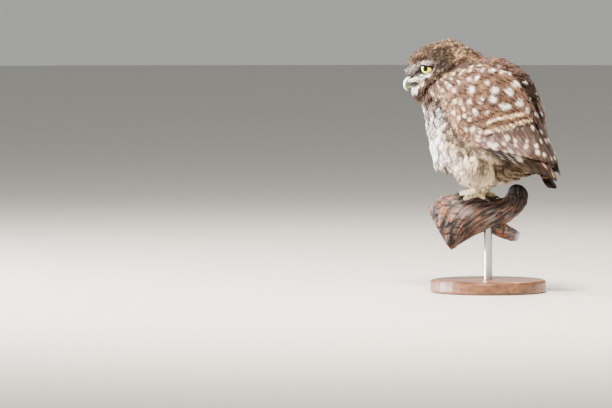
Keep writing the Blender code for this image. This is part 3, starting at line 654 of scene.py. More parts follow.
def coat_depth(points):
    """The depth of the coat over the skin, in metres."""
    height = above_perch(points)
    face = FACE_DEPTH + CROWN_EXTRA_DEPTH * smooth(0.010, 0.024, from_eye(points))
    depth = blend(BODY_DEPTH, face, smooth(-0.004, 0.006, past_neck(points)))
    depth = blend(depth, LEG_DEPTH, 1 - smooth(0.010, 0.034, height))
    return blend(depth, TOE_DEPTH, 1 - smooth(0.004, 0.010, height))


skin_points = read(skin.data.vertices, "co", 3).astype(float)
skin_normals = read(skin.data.vertices, "normal", 3).astype(float)
skin_points -= skin_normals * (coat_depth(skin_points) + GROWTH)[:, None]
_, forward, up = in_face(skin_points)
upper = smooth(-0.004, 0.010, up)
back_of_head = BACK_HEAD_RISE * smooth(-0.012, -0.022, forward) * upper
skin_points[:, 2] += NAPE_RISE * smooth(0.002, -0.016, forward) * upper + back_of_head
crown = smooth(-0.010, -0.002, forward) * (1 - smooth(0.004, 0.014, forward))
skin_points[:, 2] -= CROWN_DIP * crown * smooth(0.008, 0.018, up)
brow = smooth(0.024, 0.031, forward) * smooth(-0.006, 0.000, up)
skin_points -= face_direction(0.0, 1.0) * (BROW_TRIM * brow)[:, None]
skin.data.vertices.foreach_set("co", skin_points.astype(np.float32).ravel())
skin.data.update()
skin.data.shade_smooth()
print("skin:", len(skin.data.polygons), "faces")

# %% [markdown]
# Each feather's colour has its own small patch in the UV map OFBake. Those patches lie where the feather
# grows, so the skin is unwrapped once, and every root reads its place from that.

# %% Unwrap of the skin
bpy.context.view_layer.objects.active = skin
skin.select_set(True)
skin.data.uv_layers.new(name="OFBake")
bpy.ops.object.mode_set(mode="EDIT")
bpy.ops.mesh.select_all(action="SELECT")
bpy.ops.uv.smart_project(angle_limit=math.radians(66), island_margin=0.004)
bpy.ops.object.mode_set(mode="OBJECT")
skin.select_set(False)
skin.data.calc_loop_triangles()
triangle_count = len(skin.data.loop_triangles)
triangle_verts = read(skin.data.loop_triangles, "vertices", 3, np.int32)
triangle_loops = read(skin.data.loop_triangles, "loops", 3, np.int32)
skin_uv = read(skin.data.uv_layers["OFBake"].data, "uv", 2)
SKIN_TREE = BVHTree.FromPolygons(skin_points.tolist(), triangle_verts.tolist())


def root_uv(points):
    """The unwrap's place for each root: that of the nearest triangle of the skin."""
    found = np.empty((len(points), 2))
    for row, point in enumerate(points):
        triangle = SKIN_TREE.find_nearest(Vector(point))[2]
        found[row] = skin_uv[triangle_loops[triangle]].mean(0)
    return found


print("skin triangles:", triangle_count)

# %% [markdown]
# ## The markings
# A young little owl is brown above, with round white spots on the shoulders and wings and two cream
# bars across the folded wing. Its breast is whitish with brown streaks, the belly and thighs are
# cream, and the face has a white brow, a grey patch before each eye and a white chin. Skin and
# coat must agree, so all of it is one function of a point. Each spot is a row of a list: section,
# angle, half length and half width in millimetres. The left side was read off the bird, and the
# right side mirrors it, as on a real one.

# %% Palette
WARM_BROWN = linear("483224")
DARK_BROWN = linear("271912")
WING_BROWN = linear("5b4133")
WING_DARK = linear("2e1e16")
CROWN_BROWN = linear("493528")
TAWNY = linear("8d6e50")
PALE_BUFF = linear("cbac86")
CREAM = linear("f4dab4")
WHITE = linear("fbf5f0")
PINK_WHITE = linear("fffaf8")
GREY_WHITE = linear("a9a19e")
LORE_GREY = linear("767270")
BELLY_BUFF = linear("e8d4b8")
STREAK_BROWN = linear("422c1e")
NIGHT_BROWN = linear("20140f")
TOE_CREAM = linear("fff0c4")
# Painted shade for the hollow under the tail
UNDERTAIL_SHADE = linear("4a3a26")
WING_GREY = linear("705c57")
LID_WHITE = linear("877e82")
RING_WHITE = linear("b9aeb3")
# The black of the lid's rim, also used for the eye's inner corner, which is partly black skin and partly
# painted shadow
LID_BLACK = linear("070504")
print("palette made")

# %% Spots and bars
# Each spot: section, angle, half length and half width in millimetres
SPOTS = (
    (2.5, 56, 2.4, 1.8), (3.0, 62, 3.2, 2.6), (2.7, 50, 1.6, 2.4), (3.2, 46, 2.0, 1.6), (3.7, 44, 3.4, 2.8),
    (4.0, 50, 3.0, 2.8), (4.1, 32, 3.4, 2.8), (3.9, 20, 3.0, 2.6), (4.6, 44, 2.8, 2.8), (4.7, 40, 2.6, 2.2),
    (4.8, 26, 3.6, 3.0), (5.3, 20, 2.4, 2.0), (2.9, 82, 2.6, 2.0), (3.2, 78, 2.2, 2.0), (3.4, 70, 2.4, 2.0),
    (4.0, 70, 3.0, 2.2), (1.8, 68, 1.8, 1.2), (2.3, 66, 2.2, 1.3), (2.1, 76, 2.6, 1.6),
    (2.15, 47, 1.0, 2.2), (2.5, 38, 1.1, 2.4), (2.85, 31, 1.5, 2.4), (3.1, 25, 1.3, 2.4),
    (3.35, 17, 1.1, 2.0), (4.7, 80, 3.0, 2.6), (5.0, 76, 2.4, 2.2), (5.3, 82, 3.4, 2.6),
    (6.3, 18, 2.4, 1.6), (7.3, 13, 2.2, 1.6), (6.95, 38, 1.8, 1.5), (7.5, 28, 2.2, 1.8),
    (8.0, 34, 2.4, 1.8), (6.2, 58, 2.6, 2.0), (7.70, 68, 3.6, 2.0), (4.4, 86, 2.2, 1.8),
    (2.4, 76, 2.6, 1.4), (3.5, 78, 2.2, 1.5), (1.8, 76, 2.2, 1.2), (2.0, 86, 2.4, 1.2), (4.4, 60, 1.8, 1.4),
    (3.8, 80, 2.0, 1.6), (4.1, 78, 2.0, 1.5), (3.8, 62, 1.6, 1.1), (6.1, 79, 3.4, 2.2), (6.2, 74, 2.2, 1.5),
    (6.4, 66, 2.4, 1.3), (6.8, 74, 1.8, 1.2), (7.0, 68, 2.0, 1.2), (6.8, 56, 1.6, 1.2), (8.9, 8, 1.6, 1.1),
    (7.25, 44, 2.0, 1.9), (1.9, 51, 0.9, 2.2), (1.65, 60, 0.9, 2.0), (1.95, 57, 0.8, 1.6),
    (3.7, 86, 2.4, 1.8), (3.7, 58, 1.8, 1.4), (3.3, 88, 2.0, 1.6), (6.6, 52, 1.8, 1.4), (8.4, 24, 2.0, 1.4),
    (2.0, 41, 1.0, 1.9), (2.2, 33, 0.9, 2.0), (2.6, 20, 0.9, 1.9), (2.35, 27, 0.9, 1.8),
    (2.75, 17, 1.0, 1.6), (2.35, 40, 0.9, 1.6), (2.75, 34, 1.0, 1.6), (3.15, 20, 1.0, 1.6),
    (4.0, 6, 1.4, 0.9), (4.7, 10, 2.0, 1.0), (5.6, 8, 1.8, 1.0), (6.6, 6, 1.6, 0.9),
)
SPOT_SCALE = 1.12
# Each bar: section and angle of the points that it runs through, and its half width in millimetres
BARS = (
    ((4.88, 66), (5.02, 54), (5.25, 42), (5.4, 28), 1.3),
    ((5.3, 72), (5.5, 62), (5.7, 50), (5.8, 36), (5.9, 18), 1.8),
)


def spot_cover(place, degrees, points):
    """How much of the white spots' colour a point takes."""
    side = np.abs(degrees)
    cover = np.zeros(len(place))
    along, _ = body_frame(place, side)
    for spot_place, spot_angle, half_length, half_width in SPOTS:
        near = np.abs(place - spot_place) < 0.8
        if not near.any():
            continue
        centre = body_point(np.array([spot_place]), np.array([float(spot_angle)]))[0]
        here = body_point(place[near], side[near])
        offset = here - centre
        length = np.einsum("ij,ij->i", offset, along[near])
        width = np.linalg.norm(offset - length[:, None] * along[near], axis=1)
        wobble = 0.45 * (noise(points[near] * 600, 3) - 0.5)
        reach, girth = half_length * SPOT_SCALE / 1000, half_width * SPOT_SCALE / 1000
        away = np.sqrt((length / reach) ** 2 + (width / girth) ** 2) + wobble
        strength = min(1.0, 0.45 + 0.22 * half_width) * (0.86 + 0.14 * math.sin(spot_place * 40 + spot_angle))
        cover[near] = np.maximum(cover[near], strength * (1 - smooth(0.42, 1.30, away)))
    return cover


def bar_cover(place, degrees, points):
    """How much of the two cream bars' colour a point takes."""
    side = np.abs(degrees)
    cover = np.zeros(len(place))
    for *marks, half_width in BARS:
        marks = np.array(marks, float)
        order = np.argsort(marks[:, 1])
        middle = np.interp(side, marks[order, 1], marks[order, 0])
        inside = smooth(marks[:, 1].min() - 4, marks[:, 1].min() + 2, side)
        inside *= 1 - smooth(marks[:, 1].max() - 2, marks[:, 1].max() + 4, side)
        step = np.linalg.norm(body_point(place + 0.05, side) - body_point(place - 0.05, side), axis=1) / 0.1
        away = np.abs(place - middle) * step * 1000 / half_width
        away += 0.80 * (layered_noise(points * 420, 2, 5) - 0.5)
        inside *= 0.55 + 0.45 * smooth(0.30, 0.55, noise(points * 300, 6))
        cover = np.maximum(cover, inside * (1 - smooth(0.7, 1.25, away)))
    return cover


def mix(a, b, share):
    """Blends colours, where a and b are one colour or many, and each point has its own share."""
    return blend(a, b, np.asarray(share)[..., None])


print("spots:", len(SPOTS), "and bars:", len(BARS))

# %% [markdown]
# The face is a list of soft oval marks, painted one over the other: the dark ruff and cheeks, the
# grey brow and lores, the white moustache under the eye, and the white chin.

# %% The face
# Each mark: left, up, half width and half height in millimetres, colour and strength
FACE_MARKS = (
    (27.0, 4.0, 6.0, 15.0, DARK_BROWN, 0.75),
    (20.0, -12.5, 7.5, 3.4, DARK_BROWN, 0.90),
    (14.0, -27.0, 8.0, 8.0, DARK_BROWN, 0.80),
    (7.0, 9.0, 8.0, 2.6, DARK_BROWN, 0.45),
    (19.0, 6.0, 5.4, 2.0, GREY_WHITE, 0.85),
    (11.0, 4.8, 5.0, 2.2, GREY_WHITE, 0.85),
    (4.0, -3.0, 4.6, 5.4, LORE_GREY, 0.95),
    (3.4, -1.0, 1.6, 2.4, GREY_WHITE, 0.70),
    (6.0, 2.2, 3.6, 1.8, GREY_WHITE, 0.80),
    (0.2, 1.6, 2.0, 3.2, DARK_BROWN, 0.70),
    (2.6, -7.8, 3.2, 0.9, NIGHT_BROWN, 0.90),
    # A small painted highlight on the lores at the root of the bill
    (0.8, -4.4, 1.4, 1.5, WHITE, 0.95),
    (2.9, -5.4, 1.5, 1.2, NIGHT_BROWN, 1.00),
    (15.5, -7.3, 8.0, 2.1, WHITE, 1.00),
    (22.0, -1.2, 1.7, 4.8, RING_WHITE, 0.95),
    (6.0, -11.0, 7.0, 2.3, WHITE, 1.00),
    # Black skin and painted shadow in the inner corner of the eye
    (8.2, -1.6, 2.5, 4.4, LID_BLACK, 1.00),
    (5.8, -5.4, 1.0, 2.2, NIGHT_BROWN, 0.95),
    (23.6, -8.4, 1.1, 2.0, PALE_BUFF, 0.80),
    (25.8, -6.4, 0.9, 1.8, PALE_BUFF, 0.75),
    (17.5, -11.6, 5.0, 1.9, NIGHT_BROWN, 0.95),
    (10.6, -16.0, 6.4, 3.0, CREAM, 0.95),
    (3.2, -21.5, 4.4, 5.4, WHITE, 1.00),
)


def head_colour(points):
    """Brown with buff specks, paler on the nape, with the marks of the face and a dark ruff."""
    left, forward, up = (values * 1000 for values in in_face(points))
    left = np.abs(left)
    grain = layered_noise(points * 420, 2, 11)
    speck = noise(points * 800, 17)
    colour = mix(CROWN_BROWN * np.ones((len(points), 1)), DARK_BROWN, smooth(0.42, 0.62, grain) * 0.5)
    colour = mix(colour, PALE_BUFF, smooth(0.62, 0.80, speck) * (0.50 - 0.20 * smooth(6, 18, forward)))
    behind = smooth(4, -12, forward)
    nape = behind * smooth(0.50, 0.70, noise(points * 700, 23))
    colour = mix(colour, PALE_BUFF, nape * 0.65)
    front = smooth(4, 14, forward)[:, None]
    faced = colour
    for mark_left, mark_up, half_width, half_height, shade, strength in FACE_MARKS:
        away = np.sqrt(((left - mark_left) / half_width) ** 2 + ((up - mark_up) / half_height) ** 2)
        away += 0.30 * (noise(points * 700, 13) - 0.5)
        faced = mix(faced, shade, strength * (1 - smooth(0.7, 1.15, away)))
    colour = colour * (1 - front) + faced * front
    ruff = smooth(-4, 6, forward) * (1 - smooth(10, 16, forward)) * smooth(14, 20, left)
    buff = smooth(0.60, 0.74, noise(points * 800, 31))
    colour = mix(colour, NIGHT_BROWN, ruff * 0.95)
    return mix(colour, PALE_BUFF, ruff * buff * 0.3)


print("marks of the face:", len(FACE_MARKS))

# %% [markdown]
# The rest is three more functions, for the neck, the torso and the legs, and one that blends them
# all into the plumage of any point. The skin is coloured by it at once and darkened as painted shade,
# because it shows only in the depths between the feathers.

# %% Body, legs and the whole bird


def collar_colour(place, degrees):
    """The neck: dark with warm and pale streaks that run down it."""
    streak = layered_noise(np.stack((degrees / 3.2, place * 2.4, np.zeros(len(place))), -1), 2, 41)
    colour = mix(DARK_BROWN * np.ones((len(place), 1)), WARM_BROWN, smooth(0.3, 0.6, streak))
    pale = smooth(0.60, 0.74, streak) * (0.35 + 0.30 * smooth(40, 90, np.abs(degrees)))
    return mix(colour, PALE_BUFF, pale)


def body_colour(points, place, degrees):
    """The torso: brown above with spots, whitish below with hanging streaks."""
    side = np.abs(degrees)
    grain = layered_noise(points * 500, 2, 7)
    upper = mix(WING_BROWN, WING_DARK, smooth(0.45, 0.75, grain) * 0.7)
    upper = mix(upper, WING_GREY, 0.45 * smooth(5.0, 3.0, place))
    upper = mix(upper, NIGHT_BROWN, (1 - smooth(14, 25, side)) * smooth(2.6, 4.4, place) * 0.95)
    upper = mix(upper, WHITE, spot_cover(place, degrees, points))
    breast = smooth(6.2, 4.8, place) * np.maximum(smooth(112, 126, side), smooth(4.2, 2.8, place))
    breast = np.maximum(breast, smooth(-0.016, -0.026, behind_perch(points)) * smooth(120, 136, side))
    chest = smooth(3.7, 2.2, place)
    flank = smooth(120, 106, side) * smooth(5.4, 4.2, place)
    pale = mix(BELLY_BUFF, PINK_WHITE, breast)
    mottle = smooth(0.35, 0.60, layered_noise(points * 190, 2, 53))
    lower = mix(pale, WARM_BROWN, np.maximum(chest * (0.45 + 0.50 * mottle), flank * mottle * 0.75))
    # Painted shade at the rear of the belly, in the hollow under the tail
    lower = mix(lower, UNDERTAIL_SHADE, smooth(6.8, 7.8, place) * 0.85)
    line = 96 + 10 * (noise(points * 180, 61) - 0.5)
    return mix(upper, lower, smooth(line - 12, line + 8, side))


def leg_colour(points):
    """Cream with brown streaks down the thigh, painted shade behind the tail's root, and buff on the toes."""
    height = above_perch(points)
    streak = noise(points * (420, 420, 90), 71)
    colour = mix(BELLY_BUFF, WARM_BROWN, smooth(0.50, 0.68, streak) * 0.75 * smooth(0.010, 0.030, height))
    # Painted shade behind the tail's root
    colour = mix(colour, UNDERTAIL_SHADE, smooth(0.025, 0.034, behind_perch(points)) * 0.8)
    toe = mix(TOE_CREAM, TAWNY, smooth(0.50, 0.68, noise(points * 380, 73)) * 0.55)
    return mix(toe, colour, smooth(0.004, 0.016, height))


def plumage(points, place, degrees):
    """The colour of skin and small feathers at points of the head, neck, torso, legs and feet."""
    over_neck = past_neck(points)
    legs = 1 - smooth(0.020, 0.036, above_perch(points))
    colour = body_colour(points, place, degrees)
    ruff = smooth(-0.016, -0.006, over_neck)
    colour = mix(colour, collar_colour(place, degrees), ruff * 0.8)
    _, forward, up = in_face(points)
    chin = smooth(0.004, 0.012, forward) * smooth(-0.036, -0.028, up)
    head = np.maximum(smooth(0.001, 0.005, over_neck), chin)
    colour = mix(colour, head_colour(points), head)
    return mix(colour, leg_colour(points), legs * (1 - head))


# The skin shows only in the depths between the feathers, so its colour is darkened as painted shade
SKIN_SHADE = 0.7
skin_place, skin_degrees = place_on_body(skin_points)
set_attribute(skin.data, "plumage", plumage(skin_points, skin_place, skin_degrees) * SKIN_SHADE)
print("skin coloured:", len(skin_points), "points")

# %% [markdown]
# Feathers are keratin, matt along the barbs with the faintest silky sheen. The colour comes from each
# point's plumage, and fine noise breaks it up as barbs do. A real barb is about 0.4 mm wide, and a
# pixel of this view shows 0.95 mm, so the noise is drawn at 0.8 mm.

# %% Feather materials
FEATHER_GRAIN = (1250.0, 2.0, 0.6)
FEATHER_TONES = (0.74, 1.22)


def feather_material(name, roughness, bump):
    return grained_material(
        name, FEATHER_GRAIN, FEATHER_TONES, (bump, 0.0002), Roughness=roughness,
        Sheen_Weight=0.06, Sheen_Roughness=0.5, Specular_IOR_Level=0.15
    )


# Loose down scatters the light softly, a closed vane has a little shine, and the skin has none
DOWN = feather_material("soft_contour_feathers", roughness=0.85, bump=0.3)
VANES = feather_material("smooth_wing_feathers", roughness=0.62, bump=0.2)
SKIN_FINISH = feather_material("feathered_skin", roughness=0.9, bump=0.2)
skin.data.materials.clear()
skin.data.materials.append(SKIN_FINISH)
settle(skin, "body_feathers", *FLESH)

# %% [markdown]
# ## Roots and lie
# A feather tract covers the skin evenly and every feather points the same way as its neighbours:
# back over the crown, round the eyes in rays, down the breast, and along the toes. The roots are
# drawn at random over the skin, and any that falls closer to an earlier one than the tract allows is
# left out. The lie is a direction at each root, pressed flat onto the skin.

# %% Roots
draw = np.random.default_rng(20)
ROOT_COUNT = 90000
BODY_SPACING, HEAD_SPACING, EYE_SPACING, LEG_SPACING, TOE_SPACING = 0.0018, 0.00108, 0.00085, 0.0014, 0.0009
# Each row of the folded wing: section, angles of its upper and lower edge, and height of its form
WING_ROWS = np.array((
    (1.75, 52, 86, 0.0008), (2.5, 32, 98, 0.0018), (3.5, 16, 95, 0.0026), (4.5, 5, 91, 0.0032),
    (5.5, 1, 89, 0.0034), (6.5, 1, 85, 0.0032), (7.5, 1, 78, 0.0028), (8.5, 2, 70, 0.0020),
    (9.4, 4, 62, 0.0012),
))
WING_START = 2.2
TAIL_START = 9.3
LID_SKIN = 0.0083
LID_REACH = 0.0080
LID_SPACING = 0.0008
LID_CANDIDATES = 1200
corner_a, corner_b, corner_c = (skin_points[triangle_verts[:, k]] for k in range(3))
triangle_cross = np.cross(corner_b - corner_a, corner_c - corner_a)
areas = np.linalg.norm(triangle_cross, axis=1) / 2


def scattered(count, chance):
    """Random points of the skin, likelier where the chance is high, with their triangles."""
    weights = areas * chance
    chosen = draw.choice(triangle_count, size=count, p=weights / weights.sum())
    u, v = draw.random(count), draw.random(count)
    flip = u + v > 1
    u, v = np.where(flip, 1 - u, u), np.where(flip, 1 - v, v)
    points = corner_a[chosen] + (corner_b - corner_a)[chosen] * u[:, None]
    return points + (corner_c - corner_a)[chosen] * v[:, None], chosen


def spaced(points, spacing):
    """The rows of the points that are left when each keeps its own spacing clear."""
    finder = point_tree(points)
    free = np.ones(len(points), bool)
    kept = []
    for row, point in enumerate(points):
        if free[row]:
            kept.append(row)
            for _, other, _ in finder.find_range(point, spacing[row]):
                free[other] = False
    return np.array(kept)


def under_wing(place, degrees):
    """Where the folded wing hides the coat, a little inside its edges."""
    upper, lower = (np.interp(place, WING_ROWS[:, 0], WING_ROWS[:, k]) for k in (1, 2))
    side = np.abs(degrees)
    return (side > upper + 8) & (side < lower - 9) & (place > WING_START)


def root_spacing(points):
    """How far apart roots stand: close on the face and toes, wide on the body."""
    height = above_perch(points)
    spacing = blend(BODY_SPACING, HEAD_SPACING, smooth(-0.004, 0.008, past_neck(points)))
    spacing = blend(spacing, EYE_SPACING, 1 - smooth(0.010, 0.018, from_eye(points)))
    spacing = blend(spacing, LEG_SPACING, 1 - smooth(0.014, 0.034, height))
    return blend(spacing, TOE_SPACING, 1 - smooth(0.004, 0.010, height))


chance = 1 / root_spacing((corner_a + corner_b + corner_c) / 3) ** 2
candidates, candidate_triangles = scattered(ROOT_COUNT, chance)
kept = spaced(candidates, root_spacing(candidates) * (1.0))
roots = candidates[kept]
root_out = unit(triangle_cross[candidate_triangles[kept]])
root_place, root_degrees = place_on_body(roots)
hidden = under_wing(root_place, root_degrees) & (past_neck(roots) < -0.006) & (above_perch(roots) > 0.020)
free = ~hidden & (from_eye(roots) > 0.0076) & (root_place <= TAIL_START)
roots, root_out = roots[free], root_out[free]


def lid_roots(side):
    """Roots on the lids, which stand proud of the skin. Only the dark rim stays bare."""
    x, y = draw.uniform(-LID_REACH, LID_REACH, (2, LID_CANDIDATES))
    above = y > LID_TOP - LID_SLANT * x + 0.0027
    beyond = (x / (LID_HALF_WIDTH + 0.0006)) ** 2 + (y / (LID_HALF_HEIGHT + 0.0011)) ** 2 > 1
    chosen = (above | beyond) & (np.hypot(x, y) < LID_REACH)
    x, y = x[chosen], y[chosen]
    outside = np.cross(UP, eye_axis(side)) * side
    depth = np.sqrt(LID_SKIN ** 2 - x ** 2 - y ** 2)
    points = eye_centre(side) + outside * x[:, None] + eye_axis(side) * depth[:, None]
    points[:, 2] += y
    return points[spaced(points, np.full(len(points), LID_SPACING))]


for _, side in SIDES:
    on_lid = lid_roots(side)
    roots = np.concatenate((roots, on_lid))
    root_out = np.concatenate((root_out, unit(on_lid - eye_centre(side))))
root_place, root_degrees = place_on_body(roots)
print("roots:", len(roots))

# %% [markdown]
# The lie is worked out tract by tract and blended: down the body, radially round the eyes, back over
# the head from the root of the bill, down the legs, and forwards on the toes.

# %% Lie of the coat
BILL_ROOT = (0.0, 0.030, -0.006)
INSTEP = (0.0092, 0.0035, 0.004)


def lie_of(points, place, degrees, out):
    """The direction of the feather at each root, before the tufts gather them."""
    down = np.array((0.0, 0.0, -1.0))
    hang = smooth(110, 150, np.abs(degrees)) * smooth(2.0, 4.0, place) * smooth(6.6, 5.2, place)
    lie = unit(body_frame(place, degrees)[0] + down * (0.20 * hang)[:, None])
    head = smooth(-0.002, 0.006, past_neck(points))[:, None]
    drop = smooth(0.004, -0.012, in_face(points)[2])[:, None]
    back_over = unit(unit(points - from_face(*BILL_ROOT)) + drop * down * 0.8)
    lie = blend(lie, back_over, head)
    for _, side in SIDES:
        across, depth = across_eye(points, side)
        away = np.linalg.norm(across, axis=1)
        near = ((1 - smooth(0.010, 0.020, away)) * (depth > -0.002))[:, None] * head
        lie = blend(lie, unit(across), near)
    height, behind = above_perch(points), behind_perch(points)
    rear = smooth(0.026, 0.038, behind)
    front = smooth(-0.022, -0.012, behind)
    foot = np.maximum(front, 1 - smooth(0.008, 0.014, height))
    legs = (1 - smooth(0.026, 0.040, height)) * (1 - rear) * foot
    lie = blend(lie, down + np.array((0.0, 0.25, 0.0)), legs[:, None])
    toes = 1 - smooth(0.005, 0.011, height)
    for _, side in SIDES:
        instep = PERCH_POINT + (side * INSTEP[0], INSTEP[1], INSTEP[2])
        lie = blend(lie, unit(points - instep), ((np.sign(points[:, 0]) == side) * toes)[:, None])
    flat_lie = lie - out * np.einsum("ij,ij->i", lie, out)[:, None]
    return unit(blend(unit(flat_lie), unit(down + out * 0.12), hanging(points, degrees)[:, None]))


def hanging(points, degrees):
    """How freely a feather hangs: mostly on the thighs, a little along the belly, not elsewhere."""
    height, behind = above_perch(points), behind_perch(points)
    thigh = smooth(0.010, 0.016, height) * (1 - smooth(0.036, 0.050, height))
    thigh = thigh * smooth(-0.016, -0.004, behind) * (1 - smooth(0.022, 0.034, behind))
    belly = smooth(120, 165, np.abs(degrees)) * smooth(0.090, 0.060, height) * smooth(0.012, 0.020, height)
    belly = belly * smooth(-0.020, 0.000, behind) * (1 - smooth(0.020, 0.040, behind))
    return np.maximum(thigh * 0.80, belly * 0.30)


root_lie = lie_of(roots, root_place, root_degrees, root_out)
sway = (noise(roots * 250, 81) - 0.5) * 0.9 + draw.normal(0, 0.10, len(roots))
root_lie = unit(root_lie + np.cross(root_out, root_lie) * (sway * 0.5)[:, None])
print("lie worked out")

# %% [markdown]
# On the breast, flanks and thighs the feathers gather into pointed tufts, white or cream in the
# middle with brown between them. A sparse set of the roots leads: every other root bends its lie
# towards the tip of the leader that it lies behind, and keeps how far to the side of it it stands,
# from 0 to 1, which the colours use.

# %% Tufts of the lower side
TUFT_SPACING = 0.0062
TUFT_REACH = 0.013
TUFT_HALF_WIDTH = 0.0033
TUFT_PULL = 0.75


def tuft_share(points, place, degrees):
    """How strongly a root bends to its leader: below and on the legs, not on the head or toes."""
    below = smooth(96, 116, np.abs(degrees)) * smooth(0.2, 1.2, place)
    low_part = 1 - smooth(0.034, 0.046, above_perch(points))
    off_toes = smooth(0.008, 0.014, above_perch(points))
    off_head = 1 - smooth(-0.012, -0.004, past_neck(points))
    return np.maximum(below, low_part) * (1 - 0.15 * low_part) * off_toes * off_head


gather = tuft_share(roots, root_place, root_degrees)
leaders = spaced(roots, np.full(len(roots), TUFT_SPACING))
leader_tree = point_tree(roots[leaders] + root_lie[leaders] * TUFT_REACH * 0.3)
mine = leaders[[leader_tree.find(Vector(point))[1] for point in roots]]
leader_side = np.cross(root_lie[mine], root_out[mine])
aside = np.abs(np.einsum("ij,ij->i", roots - roots[mine], leader_side)) / TUFT_HALF_WIDTH
aside = np.clip(aside, 0, 1)
tips = roots[mine] + root_lie[mine] * TUFT_REACH
root_lie = unit(blend(root_lie, unit(tips - roots), (TUFT_PULL * gather)[:, None]))
leader_own = draw.random(len(roots))[mine]
print("tufts:", len(leaders))

# %% [markdown]
# ## Small feathers
# A contour feather of a fledgling is a loose fan of barbs: thin strands that part towards the tip.
# Four fans are made once, a unit long, each of a few closed strands with a flat three-cornered
# section. Geometry Nodes put one on every root, turned to the lie, and the result is made real
# mesh, because a render farm, a game or a printer knows nothing of instances.

# %% One fan of barbs


def fan(name, strands, spread, width, rings, seed):
    """A tuft one unit long along +Y, with its back up +Z and its strands side by side along X."""
    draw_fan = np.random.default_rng(seed)
    points, faces, along, across = [], [], [], []
    for strand in range(strands):
        place = (strand + 0.5) / strands * 2 - 1
        reach = 1.0 - 0.22 * abs(place) ** 2 + draw_fan.uniform(-0.10, 0.06)
        bend = place * spread + draw_fan.uniform(-0.05, 0.05)
        lift = draw_fan.uniform(0.85, 1.15)
        faces += strand_faces(len(points), rings)
        for share in np.linspace(0.0, 1.0, rings + 1):
            x = place * width * (0.5 + 0.5 * share) + bend * share ** 1.3
            y = reach * share
            z = lift * math.sin(share * math.pi * 0.62)
            half = width / strands * 1.5 * (1 - 0.55 * share)
            ring = [(x - half, y, z), (x + half, y, z), (x, y, z + 0.22)] if share < 1 else [(x, y, z * 0.92)]
            points += ring
            along += [share] * len(ring)
            across += [place] * len(ring)
    points = np.array(points)
    fields = {"along": along, "across": across}
    return mesh_object(name, points, facing_out(points, np.array(faces)), None, fields)


def fan_kinds(name, strands, spread, width, rings):
    """A collection of fans that differ a little."""
    kinds = bpy.data.collections.new(name)
    for seed in range(FAN_KINDS):
        one = fan(f"{name}_{seed}", strands, spread, width, rings, seed)
        SCENE.objects.unlink(one)
        kinds.objects.link(one)
    return kinds


FAN_KINDS = 4
BODY_FANS = fan_kinds("body_fan", strands=6, spread=0.16, width=0.20, rings=3)
HEAD_FANS = fan_kinds("head_fan", strands=4, spread=0.12, width=0.22, rings=2)

# %% Geometry Nodes that place them


def coat_tree(kinds, finish):
    """Named inputs: the fans and the seed that picks among them. Directions and sizes are the
    points' own attributes."""
    tree = bpy.data.node_groups.new("feathers_on_roots", "GeometryNodeTree")
    tree.interface.new_socket("Geometry", in_out="INPUT", socket_type="NodeSocketGeometry")
    tree.interface.new_socket("Fans", in_out="INPUT", socket_type="NodeSocketCollection")
    tree.interface.new_socket("Seed", in_out="INPUT", socket_type="NodeSocketInt")
    tree.interface.new_socket("Geometry", in_out="OUTPUT", socket_type="NodeSocketGeometry")
    start = add_node(tree, "NodeGroupInput")
    end = add_node(tree, "NodeGroupOutput")
    vector = {"data_type": "FLOAT_VECTOR"}
    lie, out, size = (
        add_node(tree, "GeometryNodeInputNamedAttribute", vector, Name=name).outputs["Attribute"]
        for name in ("lie", "out", "size")
    )
    turn = add_node(
        tree, "FunctionNodeAxesToRotation", {"primary_axis": "Y", "secondary_axis": "Z"}, i0=lie, i1=out
    )
    members = add_node(
        tree, "GeometryNodeCollectionInfo", {"transform_space": "ORIGINAL"}, Collection=start.outputs["Fans"],
        Separate_Children=True, Reset_Children=True
    )
    pick = add_node(
        tree, "FunctionNodeRandomValue", {"data_type": "INT"}, i4=0, i5=len(kinds.objects) - 1,
        Seed=start.outputs["Seed"]
    )
    placed = add_node(
        tree, "GeometryNodeInstanceOnPoints", Points=start.outputs["Geometry"], Instance=members.outputs[0],
        Pick_Instance=True, Instance_Index=pick.outputs[2], Rotation=turn.outputs[0], Scale=size
    )
    real = add_node(tree, "GeometryNodeRealizeInstances", Geometry=placed.outputs["Instances"])
    dressed = add_node(tree, "GeometryNodeSetMaterial", Geometry=real.outputs["Geometry"], Material=finish)
    tree.links.new(dressed.outputs["Geometry"], end.inputs["Geometry"])
    return tree


def feathers_on(name, rows, sizes, lift, kinds, finish, seed):
    """The small feathers of one tract as a plain mesh."""
    tilt = np.radians(lift)[:, None]
    lie = root_lie[rows] * np.cos(tilt) + root_out[rows] * np.sin(tilt)
    out = root_out[rows] * np.cos(tilt) - root_lie[rows] * np.sin(tilt)
    piece = mesh_object(name, roots[rows], np.zeros((0, 3), int), None, {
        "lie": lie, "out": out, "size": sizes, "tuft": np.arange(len(rows)),
    })
    tree = coat_tree(kinds, finish)
    modifier = piece.modifiers.new("feathers", "NODES")
    modifier.node_group = tree
    settings = {"Fans": kinds, "Seed": seed}
    for item in tree.interface.items_tree:
        if item.in_out == "INPUT" and item.name in settings:
            modifier[item.identifier] = settings[item.name]
    applied(piece)
    bpy.data.node_groups.remove(tree)
    return piece


BAKE_PATCH = 0.003


def bake_patches(piece, owner, uv, along, across):
    """The UV map OFBake: a small patch for each feather, at its root's place on the skin's unwrap."""
    set_uv(piece.data, uv[owner] + np.stack((across * 0.5, along - 0.5), -1) * BAKE_PATCH)


# %% [markdown]
# The tracts differ in the length of their feathers and in how far they stand off. Lengths grow from
# 2 mm round the eye and on the toes to 14 mm on the belly and thighs. Each piece is kept to about
# 180,000 triangles, so the larger tracts are cut into several.

# %% Lengths and tracts
BACK_LENGTH, BELOW_EXTRA, HEAD_LENGTH, EYE_LENGTH = 0.0105, 0.0035, 0.0048, 0.0024
SHIN_LENGTH, THIGH_EXTRA, REAR_LENGTH, TOE_LENGTH = 0.0045, 0.0095, 0.0062, 0.0022
